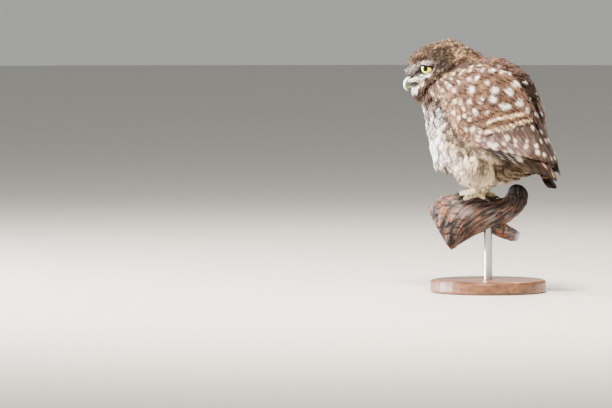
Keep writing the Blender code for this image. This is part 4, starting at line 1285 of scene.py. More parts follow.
# Degrees above the skin
BASE_LIFT, HEAD_LIFT, TUFT_LIFT, THIGH_LIFT, LIFT_SPREAD = 4.5, 2.0, 3.0, 4.5, 2.0
over_neck = past_neck(roots)
height = above_perch(roots)
behind = behind_perch(roots)
head_share = smooth(-0.006, 0.008, over_neck)
below = smooth(100, 140, np.abs(root_degrees)) * smooth(0.2, 1.6, root_place)
low = 1 - smooth(0.030, 0.048, height)
keel = smooth(0.10, 0.70, -root_out[:, 2]) * smooth(-0.010, -0.024, behind) * (1 - head_share)
rear = smooth(0.024, 0.036, behind) * (1 - smooth(0.045, 0.060, height))
length = blend(BACK_LENGTH + BELOW_EXTRA * below, HEAD_LENGTH, head_share)
length = blend(length, EYE_LENGTH, 1 - smooth(0.009, 0.017, from_eye(roots)))
length = blend(length, SHIN_LENGTH + THIGH_EXTRA * smooth(0.010, 0.028, height), low)
length = blend(length, REAR_LENGTH, rear)
length *= 1 - 0.42 * keel
length = blend(length, TOE_LENGTH, 1 - smooth(0.004, 0.010, height))
length *= draw.uniform(0.85, 1.15, len(roots)) * (1 - 0.18 * gather * smooth(0.4, 0.7, aside))
depth = coat_depth(roots)
# The middle of a tuft stands off, and its edges sink into the gaps
lift_angle = BASE_LIFT + HEAD_LIFT * head_share + TUFT_LIFT * below * (1 - head_share) * (1 - 2 * aside)
lift_angle = lift_angle + draw.uniform(-LIFT_SPREAD, LIFT_SPREAD, len(roots))
lift_angle += THIGH_LIFT * low * smooth(0.010, 0.018, height) * (1 - 2 * aside)

tract = np.full(len(roots), "breast")
tract[(over_neck > 0.0) | (in_face(roots)[1] > 0.020)] = "head"
tract[(over_neck <= 0.0) & (over_neck > -0.012) & (tract == "breast")] = "collar"
tract[(tract == "breast") & (height < 0.040)] = "leg"
tract[(tract == "breast") & (np.abs(root_degrees) < 96)] = "mantle"
tract[(tract == "leg") & (height < 0.0105)] = "toe"
TRACTS = {
    "breast": (BODY_FANS, "body_feathers"),
    "head": (HEAD_FANS, "head_feathers"),
    "collar": (BODY_FANS, "head_feathers"),
    "leg": (BODY_FANS, "leg_feathers"),
    "mantle": (BODY_FANS, "body_feathers"),
    "toe": (HEAD_FANS, "leg_feathers"),
}
print("tracts:", {key: int((tract == key).sum()) for key in TRACTS})

# %% [markdown]
# The feathers of a piece are coloured together, each from the plumage near its middle. The tufts of
# the lower side get their brown gaps here, and the upper side its pale streaks.

# %% Colours of the coat
MOST_TRIANGLES = 180000
FAN_HEIGHT = 0.80


def coat_colour(rows, along, across, owner):
    """Each feather has the colour of its place, darker at the base as painted shade, with its own small
    difference.
    Below, those that lie between two tufts are brown. Above, some have a pale streak."""
    middles = roots[rows] + root_lie[rows] * (length[rows] * 0.6)[:, None]
    place, degrees = place_on_body(middles)
    base = plumage(middles, place, degrees)
    chance = draw.random(len(rows))
    side = np.abs(root_degrees[rows])
    low_part = smooth(88, 104, side) * (1 - head_share[rows])
    leg = 1 - smooth(0.034, 0.050, height[rows])
    toe = 1 - smooth(0.008, 0.013, height[rows])
    belly = low_part * (1 - toe) * np.maximum(smooth(4.4, 5.6, root_place[rows]), leg)
    brown_tuft = smooth(0.66, 0.76, leader_own[rows]) * belly
    bright = smooth(2.7, 3.7, root_place[rows]) * (1 - belly) * smooth(104, 116, side)
    between = aside[rows] + 0.30 * (chance - 0.5) + 0.40 * (leader_own[rows] - 0.5)
    between = smooth(0.40 + 0.10 * bright, 0.62 + 0.05 * bright, between)
    streaked = low_part * (1 - toe) * between * (0.95 - 0.15 * bright - 0.06 * belly)
    neck = (1 - head_share[rows]) * smooth(3.0, 1.0, root_place[rows])
    pale = (1 - low_part) * (1 - leg) * (chance > 0.62) * (0.50 + 0.25 * neck)
    sideways, forward, _ = in_face(roots[rows])
    face = smooth(0.010, 0.018, forward) * head_share[rows]
    cheek = smooth(-0.006, 0.004, forward) * smooth(0.013, 0.019, np.abs(sideways)) * head_share[rows]
    pale = pale * (1 - face) * (1 - 0.7 * cheek)
    mid_back = (1 - head_share[rows]) * smooth(28, 12, side) * smooth(2.0, 3.0, root_place[rows])
    pale = pale * (1 - mid_back)
    centre = np.exp(-(across / 0.45) ** 2)
    colour = mix(base, STREAK_BROWN, brown_tuft * 0.40)[owner]
    colour = mix(colour, STREAK_BROWN, streaked[owner] * (0.8 + 0.2 * centre))
    colour = mix(colour, PALE_BUFF, pale[owner] * centre * smooth(0.45, 0.80, along))
    own = draw.uniform(0.60, 1.26, len(rows)) * (1 - 0.35 * cheek * (1 - face))
    own = (own * (1 - low_part) + draw.uniform(0.96, 1.12, len(rows)) * low_part)[owner]
    # Painted shade: each feather is darker at its base, more on the upper side than below
    base_shade = (0.62 + 0.16 * low_part)[owner]
    return colour * ((base_shade + (1 - base_shade) * smooth(0.0, 0.6, along)) * own)[:, None]


# %% Growing the coat
total_triangles = 0
for key, (kinds, slot) in TRACTS.items():
    members = np.flatnonzero(tract == key)
    each = sum(len(one.data.polygons) for one in kinds.objects) / len(kinds.objects)
    parts = max(1, math.ceil(len(members) * each / MOST_TRIANGLES))
    order = members[np.argsort(roots[members, 2])]
    for part, rows in enumerate(np.array_split(order, parts)):
        rise = np.clip(depth[rows] * FAN_HEIGHT / length[rows], 0.05, 0.45)
        sizes = np.stack((length[rows], length[rows], length[rows] * rise), -1)
        title = f"{key}_feathers" if parts == 1 else f"{key}_feathers_{part + 1}"
        piece = feathers_on(title, rows, sizes, lift_angle[rows], kinds, DOWN, 7 + part)
        fields = piece.data.attributes
        owner = read(fields["tuft"].data, "value").astype(int)
        along, across = read(fields["along"].data, "value"), read(fields["across"].data, "value")
        set_attribute(piece.data, "plumage", coat_colour(rows, along, across, owner))
        bake_patches(piece, owner, root_uv(roots[rows]), along, across)
        for spare in ("tuft", "along", "across", "lie", "out", "size"):
            if spare in fields:
                fields.remove(fields[spare])
        settle(piece, slot)
        total_triangles += len(piece.data.polygons)
        print(title, len(rows), "feathers,", len(piece.data.polygons), "triangles")
for kinds in (BODY_FANS, HEAD_FANS):
    for one in list(kinds.objects):
        bpy.data.objects.remove(one)
    bpy.data.collections.remove(kinds)
print("coat:", total_triangles, "triangles")

# %% [markdown]
# ## The folded wings
# Under its coverts a wing is a smooth form, which is lofted first so that nothing shows between the
# feathers. On it lie the tiers of a real wing. The coverts and scapulars are soft feathers whose
# barbs show, and the primaries and secondaries are stiff closed vanes.

# %% Wing form
WING_EDGE = 0.0013
# The form lies under the feathers, so its colour is darkened as painted shade
FORM_SHADE = 0.75
FORM_ROWS, FORM_COLUMNS = 40, 22


def form_height(place):
    inside = np.interp(place, WING_ROWS[:, 0], WING_ROWS[:, 3])
    beyond = WING_ROWS[-1, 3] * np.maximum(1 - 0.4 * (place - WING_ROWS[-1, 0]), 0.0)
    return WING_EDGE + np.where(place > WING_ROWS[-1, 0], beyond, inside)


def side_of(points, side):
    """The points of the left wing, or the same mirrored for the right one."""
    return points * np.array((side, 1.0, 1.0))


def wing_form(name, side):
    """A closed pad under the feathers, whose rings run over its top and back along its underside."""
    rows = through(WING_ROWS, np.linspace(0, len(WING_ROWS) - 1, FORM_ROWS))
    outer = np.linspace(0, 1, FORM_COLUMNS)[None, :]
    angles = rows[:, 1:2] + 2.5 + (rows[:, 2:3] - rows[:, 1:2] - 4.0) * outer
    edge = 1 - np.abs(2 * outer - 1) ** 4
    heights = (WING_EDGE * 0.4 + rows[:, 3:4] * 0.75) * edge + 0.0002
    places = np.broadcast_to(rows[:, 0:1], angles.shape)
    top = over_body(places, angles, heights)
    under = over_body(places, angles, np.full(angles.shape, -0.003))[:, ::-1]
    rings = side_of(np.concatenate((top, under), axis=1), side)
    there_and_back = [np.concatenate((field, field[:, ::-1]), axis=1).ravel() for field in (places, angles)]
    colour = wing_colour(rings.reshape(-1, 3), *there_and_back) * FORM_SHADE
    last_row = (rings.shape[0] - 1) * rings.shape[1]
    colour = np.concatenate((colour, colour[:1], colour[last_row:last_row + 1]))
    piece = closed_loft(name, rings, VANES, {"plumage": colour})
    spans = [np.linspace(0.02, 0.98, count) for count in rings.shape[:2]]
    uv = np.stack(np.meshgrid(*spans, indexing="ij"), -1).reshape(-1, 2)
    set_uv(piece.data, np.concatenate((uv, uv[:1], uv[-1:])))
    return piece


def wing_colour(points, place, degrees):
    """Brown with white spots and two cream bars, darker towards the tip."""
    grain = layered_noise(points * 420, 2, 91)
    colour = mix(WING_BROWN, WING_DARK, smooth(0.40, 0.75, grain) * 0.65)
    tawny = smooth(0.55, 0.75, noise(points * 240, 97)) * (0.35 + 0.20 * smooth(4.0, 2.6, place))
    colour = mix(colour, TAWNY, tawny)
    side = np.abs(degrees)
    front = smooth(80, 92, side) * smooth(0.42, 0.60, noise(points * 600, 99)) * smooth(6.5, 5.0, place)
    colour = mix(colour, PALE_BUFF, front * 0.5)
    colour = mix(colour, NIGHT_BROWN, (1 - smooth(9, 21, side)) * smooth(2.6, 4.4, place) * 0.75)
    colour = mix(colour, collar_colour(place, degrees), smooth(2.35, 1.75, place) * 0.85)
    colour = mix(colour, CREAM, bar_cover(place, degrees, points))
    spot_tone = mix(WHITE, CREAM, np.maximum(smooth(62, 80, side) * 0.7, smooth(3.0, 2.2, place) * 0.5))
    return mix(colour, spot_tone, spot_cover(place, degrees, points))


for word, side in SIDES:
    settle(wing_form(f"wing_{word}_form", side), "wing_feathers", "wing_" + word)
print("wing forms made")

# %% [markdown]
# A covert is drawn as a real feather: a shaft, with a row of barbs on each side that leave it at a
# slant and end on a rounded outline. Each barb is a closed strand. One feather is laid out flat in
# shares of its length and width, and then draped over the body from its root to its tip.

# %% One soft feather


def barbed_feather(barbs, seed):
    """Points as (share along, share across, height share) and triangles, for one soft feather."""
    draw_barb = np.random.default_rng(seed)
    points, faces = [], []

    def strand(stations, halves, rise):
        faces.extend(strand_faces(len(points), len(halves)))
        for (v, u), half in zip(stations, halves):
            points.extend(((v - half * 0.4, u - half, 0.0), (v + half * 0.4, u + half, 0.0), (v, u, rise)))
        points.append((*stations[-1], 0.0))

    strand([(0.0, 0.0), (0.5, 0.0), (0.97, 0.0)], (0.05, 0.04), 0.35)
    half = 0.19 * (10 / barbs)
    for barb in range(barbs):
        share = (barb + 0.5) / barbs
        for side in (1, -1):
            jitter = draw_barb.uniform(-0.02, 0.02)
            root_v = 0.02 + 0.83 * share
            tip_v = min(0.22 + 0.80 * share + jitter, 1.0 + 0.02 * draw_barb.uniform(-1, 1))
            tip_u = side * (math.sin(math.pi * (0.16 + 0.80 * share)) ** 0.6 + draw_barb.uniform(-0.06, 0.04))
            middle = (root_v * 0.45 + tip_v * 0.55 - 0.03, tip_u * 0.55)
            late = (root_v * 0.12 + tip_v * 0.88 - 0.01, tip_u * 0.88)
            strand([(root_v, 0.0), middle, late, (tip_v, tip_u)], (half, half, half * 0.75), 0.13)
    return np.array(points), np.array(faces)


def closed_vane(seed):
    """The same for a stiff feather: a thin closed blade with a rounded tip and a fine shaft."""
    rows, columns = 30, 9
    v = np.linspace(0, 1, rows)[:, None]
    u = np.linspace(-1, 1, columns)[None, :]
    rounded_tip = np.sqrt(np.clip(1 - np.clip((v - 0.80) / 0.2, 0, 1) ** 2.4, 0, 1))
    outline = np.minimum(1, 0.40 + 0.75 * v) * rounded_tip
    outline = np.maximum(outline, 0.02)
    ragged = 1 + 0.05 * np.random.default_rng(seed).uniform(-1, 1, (rows, 1)) * (np.abs(u) > 0.9)
    across = u * outline * ragged
    ridge = 0.35 * np.exp(-(u / 0.10) ** 2) + 0.12 * (1 - u * u)
    top = np.stack((np.broadcast_to(v, across.shape), across, np.broadcast_to(ridge, across.shape)), -1)
    bottom = top * (1, 1, 0) + (0, 0, -0.12)
    bottom[:, [0, -1], 2] = 0.0
    top[:, [0, -1], 2] = 0.0
    ring = np.concatenate((top, bottom[:, -2:0:-1]), axis=1)
    return with_ends(ring), loft_faces(*ring.shape[:2])


SOFT_KINDS = [barbed_feather(barbs=11, seed=seed) for seed in range(4)]
STIFF_KINDS = [closed_vane(seed) for seed in range(3)]
print("a soft feather has", len(SOFT_KINDS[0][1]), "triangles, a stiff one", len(STIFF_KINDS[0][1]))

# %% [markdown]
# The tiers of the wing, from the lowest to the highest, follow those of the solids but with more
# feathers. Every row gives the name, the count, the root and the tip of the first and of the last
# feather as section and angle, the width, and the height of the tip above the wing's form.

# %% Wing tiers
STIFF_TIERS = (
    ("primaries", 10, (5.2, 91), (5.7, 82), (9.6, 72), (11.2, 15), 0.0062, 0.0006),
    ("secondaries", 13, (4.8, 84), (5.3, 18), (6.1, 80), (9.6, 9), 0.0082, 0.0016),
)
SOFT_TIERS = (
    ("primary_coverts", 6, (4.5, 92), (4.9, 82), (5.9, 89), (6.3, 79), 0.0062, 0.0012),
    ("greater_coverts", 13, (4.1, 86), (4.5, 16), (5.45, 79), (6.15, 13), 0.0094, 0.0016),
    ("alula", 3, (4.2, 93), (4.4, 88), (5.9, 90), (5.7, 84), 0.0050, 0.0016),
    ("second_coverts", 12, (3.7, 88), (4.1, 24), (4.95, 80), (5.60, 20), 0.0096, 0.0018),
    ("median_coverts", 12, (3.3, 89), (3.7, 30), (4.45, 82), (5.05, 26), 0.0096, 0.0019),
    ("upper_coverts", 11, (2.9, 90), (3.3, 36), (4.0, 85), (4.55, 34), 0.0094, 0.0019),
    ("lesser_coverts", 11, (2.5, 92), (2.9, 42), (3.6, 88), (4.05, 40), 0.0092, 0.0018),
    ("small_coverts", 10, (2.2, 92), (2.5, 48), (3.15, 91), (3.55, 45), 0.0088, 0.0016),
    ("shoulder_coverts", 9, (1.9, 90), (2.1, 54), (2.80, 92), (3.10, 50), 0.0084, 0.0014),
    ("lowest_scapulars", 6, (4.2, 38), (4.5, 12), (5.65, 32), (6.0, 9), 0.0098, 0.0021),
    ("lower_scapulars", 7, (3.7, 46), (4.0, 15), (5.10, 42), (5.45, 12), 0.0100, 0.0023),
    ("middle_scapulars", 7, (3.2, 52), (3.5, 18), (4.55, 48), (4.90, 15), 0.0100, 0.0023),
    ("upper_scapulars", 7, (2.7, 58), (3.0, 22), (4.00, 54), (4.30, 18), 0.0098, 0.0022),
    ("top_scapulars", 7, (2.2, 62), (2.5, 28), (3.45, 58), (3.75, 24), 0.0096, 0.0020),
    ("first_scapulars", 6, (1.8, 64), (2.0, 34), (2.90, 62), (3.15, 30), 0.0090, 0.0017),
    ("edge_coverts", 13, (2.1, 93), (4.3, 94), (2.95, 95), (5.4, 91), 0.0070, 0.0011),
    ("neck_coverts", 15, (1.25, 98), (1.45, 34), (2.30, 99), (2.50, 32), 0.0060, 0.0012),
    ("collar_coverts", 14, (0.85, 100), (1.05, 38), (1.75, 101), (1.95, 36), 0.0056, 0.0009),
)


VANE_THICKNESS = 0.0009
BARB_THICKNESS = 0.0006
FEATHER_ROLL = math.radians(7)
FEATHER_CURVE = 18.0
RIGHT_TIP_SHORTER = 0.6


def draped(kind, root, tip, heights, width, thickness):
    """The points of one feather laid from its root to its tip, and their sections and angles."""
    shape, faces = kind
    stations = np.linspace(0, 1, 9)
    place = root[0] + (tip[0] - root[0]) * stations
    degrees = root[1] + (tip[1] - root[1]) * stations
    height = heights[0] + (heights[1] - heights[0]) * stations ** 0.8
    spine = over_body(place, degrees, height)
    along = unit(np.gradient(spine, axis=0))
    out = body_frame(place, degrees)[1]
    across = unit(np.cross(along, out))
    v = np.clip(shape[:, 0], 0, 1.03)
    middle, forward, side = (
        np.stack([np.interp(v, stations, field[:, k]) for k in range(3)], -1)
        for field in (spine, along, across)
    )
    beyond = np.maximum(shape[:, 0] - 1.0, 0.0)
    up = unit(np.cross(side, forward))
    length = np.linalg.norm(np.diff(spine, axis=0), axis=1).sum()
    offset = shape[:, 1] * width / 2
    lift = shape[:, 2] * thickness + np.sin(FEATHER_ROLL) * offset - FEATHER_CURVE * offset ** 2
    points = middle + side * (offset * np.cos(FEATHER_ROLL))[:, None] + forward * (beyond * length)[:, None]
    points += up * lift[:, None]
    at_place = np.interp(v, stations, place)
    at_degrees = np.interp(v, stations, degrees)
    a_degree = np.linalg.norm(body_point(at_place, at_degrees + 1) - body_point(at_place, at_degrees), axis=1)
    at_degrees = at_degrees + offset / np.maximum(a_degree, 0.0002)
    return points, faces, at_place, at_degrees


def wing_tier(rng, tier, kinds, thickness, shorter=0.0):
    """All the feathers of one tier of the left wing, each with its share of the way along the tier."""
    name, count, root_a, root_b, tip_a, tip_b, width, lift = tier
    for index in range(count):
        share = index / max(count - 1, 1)
        root = np.array(root_a) + (np.array(root_b) - root_a) * share
        tip = np.array(tip_a) + (np.array(tip_b) - tip_a) * share
        tip = tip + (rng.uniform(-0.07, 0.07), rng.uniform(-1.0, 1.0))
        if name == "secondaries":
            tip = tip + (0.5 * math.sin(math.pi * share), 0.0)
        low = form_height(root[0]) - 0.0010
        high = form_height(tip[0]) + lift + rng.uniform(-0.0002, 0.0002)
        if name == "primaries":
            low, high = 0.0016 + 0.0009 * share, 0.0012 + 0.0022 * share
            tip = tip - (shorter * share, 0.0)
        kind = kinds[rng.integers(len(kinds))]
        yield share, *draped(kind, root, tip, (low, high), width * rng.uniform(0.93, 1.07), thickness)


print("tiers:", len(STIFF_TIERS) + len(SOFT_TIERS))

# %% [markdown]
# Flight feathers are coloured feather by feather, because their pattern follows the vane, while the
# coverts take the colour of their place on the wing. Then each wing is built and joined into two
# pieces, one of stiff feathers and one of soft ones. The right wing mirrors the left one.

# %% Colours and making of the wings
TIP_BUFF = linear("b09078")
TIP_PATCHES = ((9.3, 36), (10.4, 24))


def stiff_colour(name, share, points, place, degrees, local):
    """A flight feather, darker towards its tip and along its shaft, with a pale outer edge. The
    secondaries are grey-brown with faint spots and blotches, and nearly black towards the back. The
    primaries are dark with long pale patches on their outer edges, out of step from one to the next."""
    u = np.abs(local[:, 1])
    outer = local[:, 1] > 0
    inner_wing = name == "secondaries"
    base = mix(NIGHT_BROWN, WING_DARK, 0.7)
    if inner_wing:
        base = mix(WING_DARK, WING_GREY, 0.75 - 0.45 * smooth(0.42, 0.66, noise(points * 150, 107)))
    colour = base * (0.80 + 0.4 * noise(points * 500, 103))[:, None]
    step = local[:, 0] * 4.2 + (0.25 if inner_wing else 3.3) * share
    wave = 0.5 + 0.5 * np.cos(step * 2 * np.pi + 1.3)
    if inner_wing:
        colour = mix(colour, PALE_BUFF, smooth(0.82, 0.96, wave) * smooth(0.15, 0.55, u) * outer * 0.25)
        blotch = smooth(0.58, 0.74, layered_noise(points * 260, 2, 109)) * smooth(8.2, 6.8, place)
        colour = mix(colour, GREY_WHITE, blotch * 0.45)
        colour = mix(colour, NIGHT_BROWN, (1 - smooth(16, 52, degrees)) * 0.86)
    else:
        patch = smooth(0.58, 0.78, wave) * smooth(0.60, 0.74, u) * outer
        patch = patch * (1 - 0.92 * smooth(7.2, 8.4, place))
        colour = mix(colour, mix(WHITE, CREAM, smooth(6.8, 8.0, place)), patch)
        dashes = 0.5 + 0.5 * np.cos(local[:, 0] * 9.0 + 5.0 * share)
        thin = smooth(0.30, 0.55, dashes) * smooth(7.0, 7.6, place)
        thin = thin * (1 - smooth(8.6, 9.4, place)) * smooth(0.86, 0.96, u) * outer
        colour = mix(colour, PALE_BUFF, thin * 0.8)
    shaft = np.exp(-(local[:, 1] / 0.07) ** 2)
    colour = mix(colour, NIGHT_BROWN, shaft * 0.6)
    edge = smooth(0.84, 0.97, u) * outer
    colour = mix(colour, PALE_BUFF, edge * (0.45 if inner_wing else 0.22))
    colour = mix(colour, CREAM, bar_cover(place, degrees, points))
    colour = mix(colour, NIGHT_BROWN, smooth(7.6, 9.2, place) * 0.70)
    for patch_place, patch_degrees in TIP_PATCHES:
        away = np.hypot((place - patch_place) / 0.42, (degrees - patch_degrees) / 4.5)
        colour = mix(colour, TIP_BUFF, 0.50 * (1 - smooth(0.5, 1.1, away)))
    return mix(colour, mix(WHITE, CREAM, 0.45), spot_cover(place, degrees, points) * 0.82)


def joined(feathers, finish, name, slot):
    """One object of many feathers, each given as points, faces, colour, root uv and local places."""
    points, faces, colours, uvs, local = zip(*feathers)
    sizes = [len(one) for one in points]
    starts = np.concatenate(((0,), np.cumsum(sizes)))
    faces = [facing_out(own, triangles) + start for own, triangles, start in zip(points, faces, starts)]
    local = np.concatenate(local)
    piece = mesh_object(name, np.concatenate(points), np.concatenate(faces), finish, {
        "plumage": np.concatenate(colours),
    })
    owner = np.repeat(np.arange(len(sizes)), sizes)
    bake_patches(piece, owner, np.array(uvs), np.clip(local[:, 0], 0, 1), np.clip(local[:, 1], -1, 1))
    settle(piece, slot)
    print(name, len(sizes), "feathers,", len(piece.data.polygons), "triangles")
    return piece


def on_side(points, faces, colour, local, side):
    """A feather of the left wing, mirrored for the right one, with its root's place on the unwrap."""
    points = side_of(points, side)
    return points, faces, colour, root_uv(points[:1])[0], local


for word, side in SIDES:
    rng = np.random.default_rng(31)
    stiff, soft = [], []
    local = STIFF_KINDS[0][0]
    for tier in STIFF_TIERS:
        shorter = 0.0 if side > 0 else RIGHT_TIP_SHORTER
        feathers = wing_tier(rng, tier, STIFF_KINDS, VANE_THICKNESS, shorter)
        for share, points, faces, place, degrees in feathers:
            colour = stiff_colour(tier[0], share, points, place, degrees, local) * rng.uniform(0.72, 1.20)
            stiff.append(on_side(points, faces, colour, local, side))
    local = SOFT_KINDS[0][0]
    # Each covert is darker towards its root as painted shade, where the feathers above cover it
    root_shade = (0.86 + 0.14 * smooth(0.1, 0.8, local[:, 0]))[:, None]
    for tier in SOFT_TIERS:
        for _, points, faces, place, degrees in wing_tier(rng, tier, SOFT_KINDS, BARB_THICKNESS):
            colour = wing_colour(points, place, degrees) * root_shade * rng.uniform(0.93, 1.08)
            soft.append(on_side(points, faces, colour, local, side))
    joined(stiff, VANES, f"flight_feathers_{word}", "wing_feathers")
    joined(soft, DOWN, f"covert_feathers_{word}", "wing_feathers")

# %% [markdown]
# ## The tail
# Twelve tail feathers lie in a closed fan under the wing tips, dark brown with dull pale bars. They
# are the same stiff vanes, placed in pairs, each pair a little lower and further out.

# %% Tail
TAIL_ROOT = PERCH_POINT + (0.0, 0.0600, 0.0405)
TAIL_TIP = PERCH_POINT + (0.0, 0.0845, 0.0085)
TAIL_PAIRS = 6
TAIL_HALF_WIDTH = 0.0039
TAIL_BARS = 2.7
TAIL_BUFF = linear("c99f80")


def tail_feathers():
    """The feathers in pairs from the middle out, as the function that joins them takes them."""
    along = unit(TAIL_TIP - TAIL_ROOT)
    over = unit(np.cross((1.0, 0.0, 0.0), along))
    over = over * np.sign(over[1])
    length = np.linalg.norm(TAIL_TIP - TAIL_ROOT)
    rng = np.random.default_rng(11)
    for pair in range(TAIL_PAIRS):
        out = (pair + 0.35) / TAIL_PAIRS
        for side in (-1, 1):
            shape, faces = STIFF_KINDS[rng.integers(3)]
            reach = length * (1 - 0.07 * out * out + rng.uniform(-0.012, 0.012))
            v = shape[:, 0]
            x = side * out * (0.0042 + 0.0030 * v) + shape[:, 1] * TAIL_HALF_WIDTH
            drop = 0.00038 * pair + FEATHER_CURVE * x * x + (0.0002 if side < 0 else 0.0)
            height = shape[:, 2] * VANE_THICKNESS - drop + side * shape[:, 1] * 0.0004
            points = TAIL_ROOT + along * (reach * v)[:, None] + over * height[:, None]
            points[:, 0] += x
            wave = 0.5 + 0.5 * np.cos(v * 2 * np.pi * TAIL_BARS + 1.2)
            bars = smooth(0.84, 0.96, wave) * smooth(0.10, 0.30, np.abs(shape[:, 1]))
            colour = mix(NIGHT_BROWN, TAIL_BUFF, bars * 0.50)
            colour = colour * (0.9 + 0.2 * noise(points * 500, 5))[:, None]
            yield points, faces, colour, root_uv(points[:1])[0], shape


tail = joined(tail_feathers(), VANES, "tail_feathers", "wing_feathers")
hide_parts("tail")

# %% [markdown]
# ## The eyes
# An owl's eye is a large fixed ball: a yellow iris with fine dark spokes, a black pupil and a wet
# cornea. One dense ball carries an attribute with the angle from its axis, and the material turns
# that into pupil, iris and dark rim. A clear coat gives the wet look.

# %% Eyeballs
IRIS_EDGE = 0.84
PUPIL_EDGE = 0.33
GAZE_DROP = 0.13
eye_finish, tree, shader = new_material("wet_yellow_iris")
angle, spoke = (add_node(tree, "ShaderNodeAttribute", {"attribute_name": key}) for key in ("iris", "spoke"))
fibres = add_node(tree, "ShaderNodeTexNoise", Vector=spoke.outputs["Vector"], Scale=1.0, Detail=3.0)
rings = ramp_node(tree, angle.outputs["Fac"], (
    (0.0, "030303"), (PUPIL_EDGE - 0.010, "040404"), (PUPIL_EDGE + 0.015, "8a7c06"), (0.40, "ebef16"),
    (0.60, "fcff4a"), (0.76, "e2e41c"), (IRIS_EDGE, "3e3208"), (IRIS_EDGE + 0.04, "0a0705"),
))
speckle = ramp_node(tree, fibres.outputs["Fac"], ((0.30, "b4b09a"), (0.60, "ffffff")))
iris = multiplied(tree, rings.outputs["Color"], speckle.outputs["Color"], 0.55)
tree.links.new(iris, shader.inputs["Base Color"])
set_shader(shader, Roughness=0.25, Specular_IOR_Level=0.05, Coat_Weight=0.06, Coat_Roughness=0.02)


def eyeball(word, side):
    """A ball whose poles lie on the eye's axis, a little fuller at the cornea."""
    axis = eye_axis(side)
    across = np.cross(UP, axis)
    polar = np.linspace(0.03, math.pi - 0.03, 48)[:, None]
    turn = np.linspace(0, 2 * math.pi, 64, endpoint=False)[None, :]
    radius = EYE_RADIUS * (1 + 0.03 * np.exp(-(polar / 0.55) ** 2))
    rings = (
        eye_centre(side)
        + axis * (radius * np.cos(polar) * np.ones_like(turn))[..., None]
        + across * (radius * np.sin(polar) * np.cos(turn))[..., None]
        + UP * (radius * np.sin(polar) * np.sin(turn))[..., None]
    )
    gaze = unit(axis - UP * GAZE_DROP)
    flat_polar = np.arccos(np.clip(unit(rings - eye_centre(side)) @ gaze, -1, 1)).ravel()
    flat_turn = np.broadcast_to(turn, rings.shape[:2]).ravel()
    spokes = np.stack((np.cos(flat_turn) * 14, np.sin(flat_turn) * 14, flat_polar * 3), -1)
    flat_polar = np.concatenate((flat_polar, (0.0, math.pi)))
    spokes = np.concatenate((spokes, spokes[:1], spokes[-1:]))
    fields = {"iris": np.minimum(flat_polar, 1.0), "spoke": spokes}
    return settle(closed_loft("ball_eye_" + word, rings, eye_finish, fields), "eye", "eye_" + word)


for word, side in SIDES:
    eyeball(word, side)
print("eyes of", EYE_RADIUS * 2000, "mm")

# %% [markdown]
# The lids close round the ball as a thin dark rim. The upper one hangs low and straight, which gives
# the owl its stern look. Each rim is a closed band whose section is an arch: it starts on the ball,
# rounds over and runs back under the first small feathers.

# %% Lids
# Bare lid skin is dull and finely pored, so that the wet eye stands out against it
lid_finish = grained_material(
    "bare_lid_skin", grain=(1600.0, 2.0, 0.5), tones=(0.75, 1.2), relief=(0.3, 0.0002),
    Roughness=0.75, Specular_IOR_Level=0.06
)
LID_REACHES = (0.0088, 0.0084)
# The lid's section: the share of the way from the opening to its far edge, and the radius in mm
LID_SECTION = (
    (0.0, 7.50), (0.015, 7.9), (0.035, 8.20), (0.07, 8.42), (0.11, 8.48), (0.15, 8.50), (0.19, 8.50),
    (0.23, 8.50), (0.27, 8.50), (0.31, 8.50), (0.36, 8.49), (0.42, 8.48), (0.52, 8.45), (0.68, 8.40),
    (0.84, 8.30), (1.0, 8.05), (1.0, 7.2), (0.5, 7.0),
)


def lid_outline(turn):
    """The opening's edge in the eye's own plane: an oval with a straight, low upper edge that
    slants down towards the bill and ends there in a corner."""
    x = LID_HALF_WIDTH * np.cos(turn)
    y = LID_HALF_HEIGHT * np.sin(turn)
    top = LID_TOP - LID_SLANT * x
    y = np.where(y > top, top + (y - top) * 0.08, y)
    return x - 0.0012 * smooth(0.0, -1.0, np.cos(turn)), y


def lid(word, side):
    """A closed band from the opening's edge, over the ball and back under the face's feathers."""
    axis = eye_axis(side)
    outside = np.cross(UP, axis) * side
    turn = np.linspace(0, 2 * math.pi, 96, endpoint=False)
    x, y = lid_outline(turn)
    far_x, far_y = LID_REACHES[0] * np.cos(turn), LID_REACHES[1] * np.sin(turn)
    rings, edge_distance = [], []
    for share, radius in LID_SECTION:
        px, py = x + (far_x - x) * share, y + (far_y - y) * share
        flat = np.hypot(px, py)
        scale = np.minimum(flat, radius / 1000 * 0.995) / flat
        px, py = px * scale, py * scale
        depth = np.sqrt(np.maximum((radius / 1000) ** 2 - px ** 2 - py ** 2, 0.0))
        rings.append(eye_centre(side) + outside * px[:, None] + UP * py[:, None] + axis * depth[:, None])
        edge_distance.append(np.hypot(px - x, py - y))
    rings = np.stack(rings, axis=1)
    edge_distance = np.stack(edge_distance, axis=1).ravel()
    rows, columns = rings.shape[:2]
    faces = split_quads(ring_faces(rows + 1, columns) % (rows * columns))
    points = rings.reshape(-1, 3)
    corners = points[faces]
    normals = np.cross(corners[:, 1] - corners[:, 0], corners[:, 2] - corners[:, 0])
    outward = np.einsum("ij,ij->i", normals, corners.mean(1) - eye_centre(side))
    if outward[np.argmax(corners.mean(1) @ axis)] < 0:
        faces = faces[:, ::-1]
    upper = smooth(0.0002, 0.0016, points[:, 2] - eye_centre(side)[2])
    rim_width = LID_RIM * (0.75 + 0.85 * upper)
    rim = 1 - smooth(rim_width * 0.9, rim_width * 1.1, edge_distance)
    # The inner corner, towards the bill, is black: partly the lid's skin and partly painted shadow
    corner = smooth(-0.0040, -0.0056, (points - eye_centre(side)) @ outside)
    ring = 1 - smooth(rim_width + 0.0005, rim_width + 0.0010, edge_distance)
    colour = mix(mix(head_colour(points), LID_WHITE, ring), LID_BLACK, np.maximum(rim, corner * 0.95))
    return settle(mesh_object("lid_" + word, points, faces, lid_finish, {"plumage": colour}), "eye")


for word, side in SIDES:
    lid(word, side)
print("lids made")
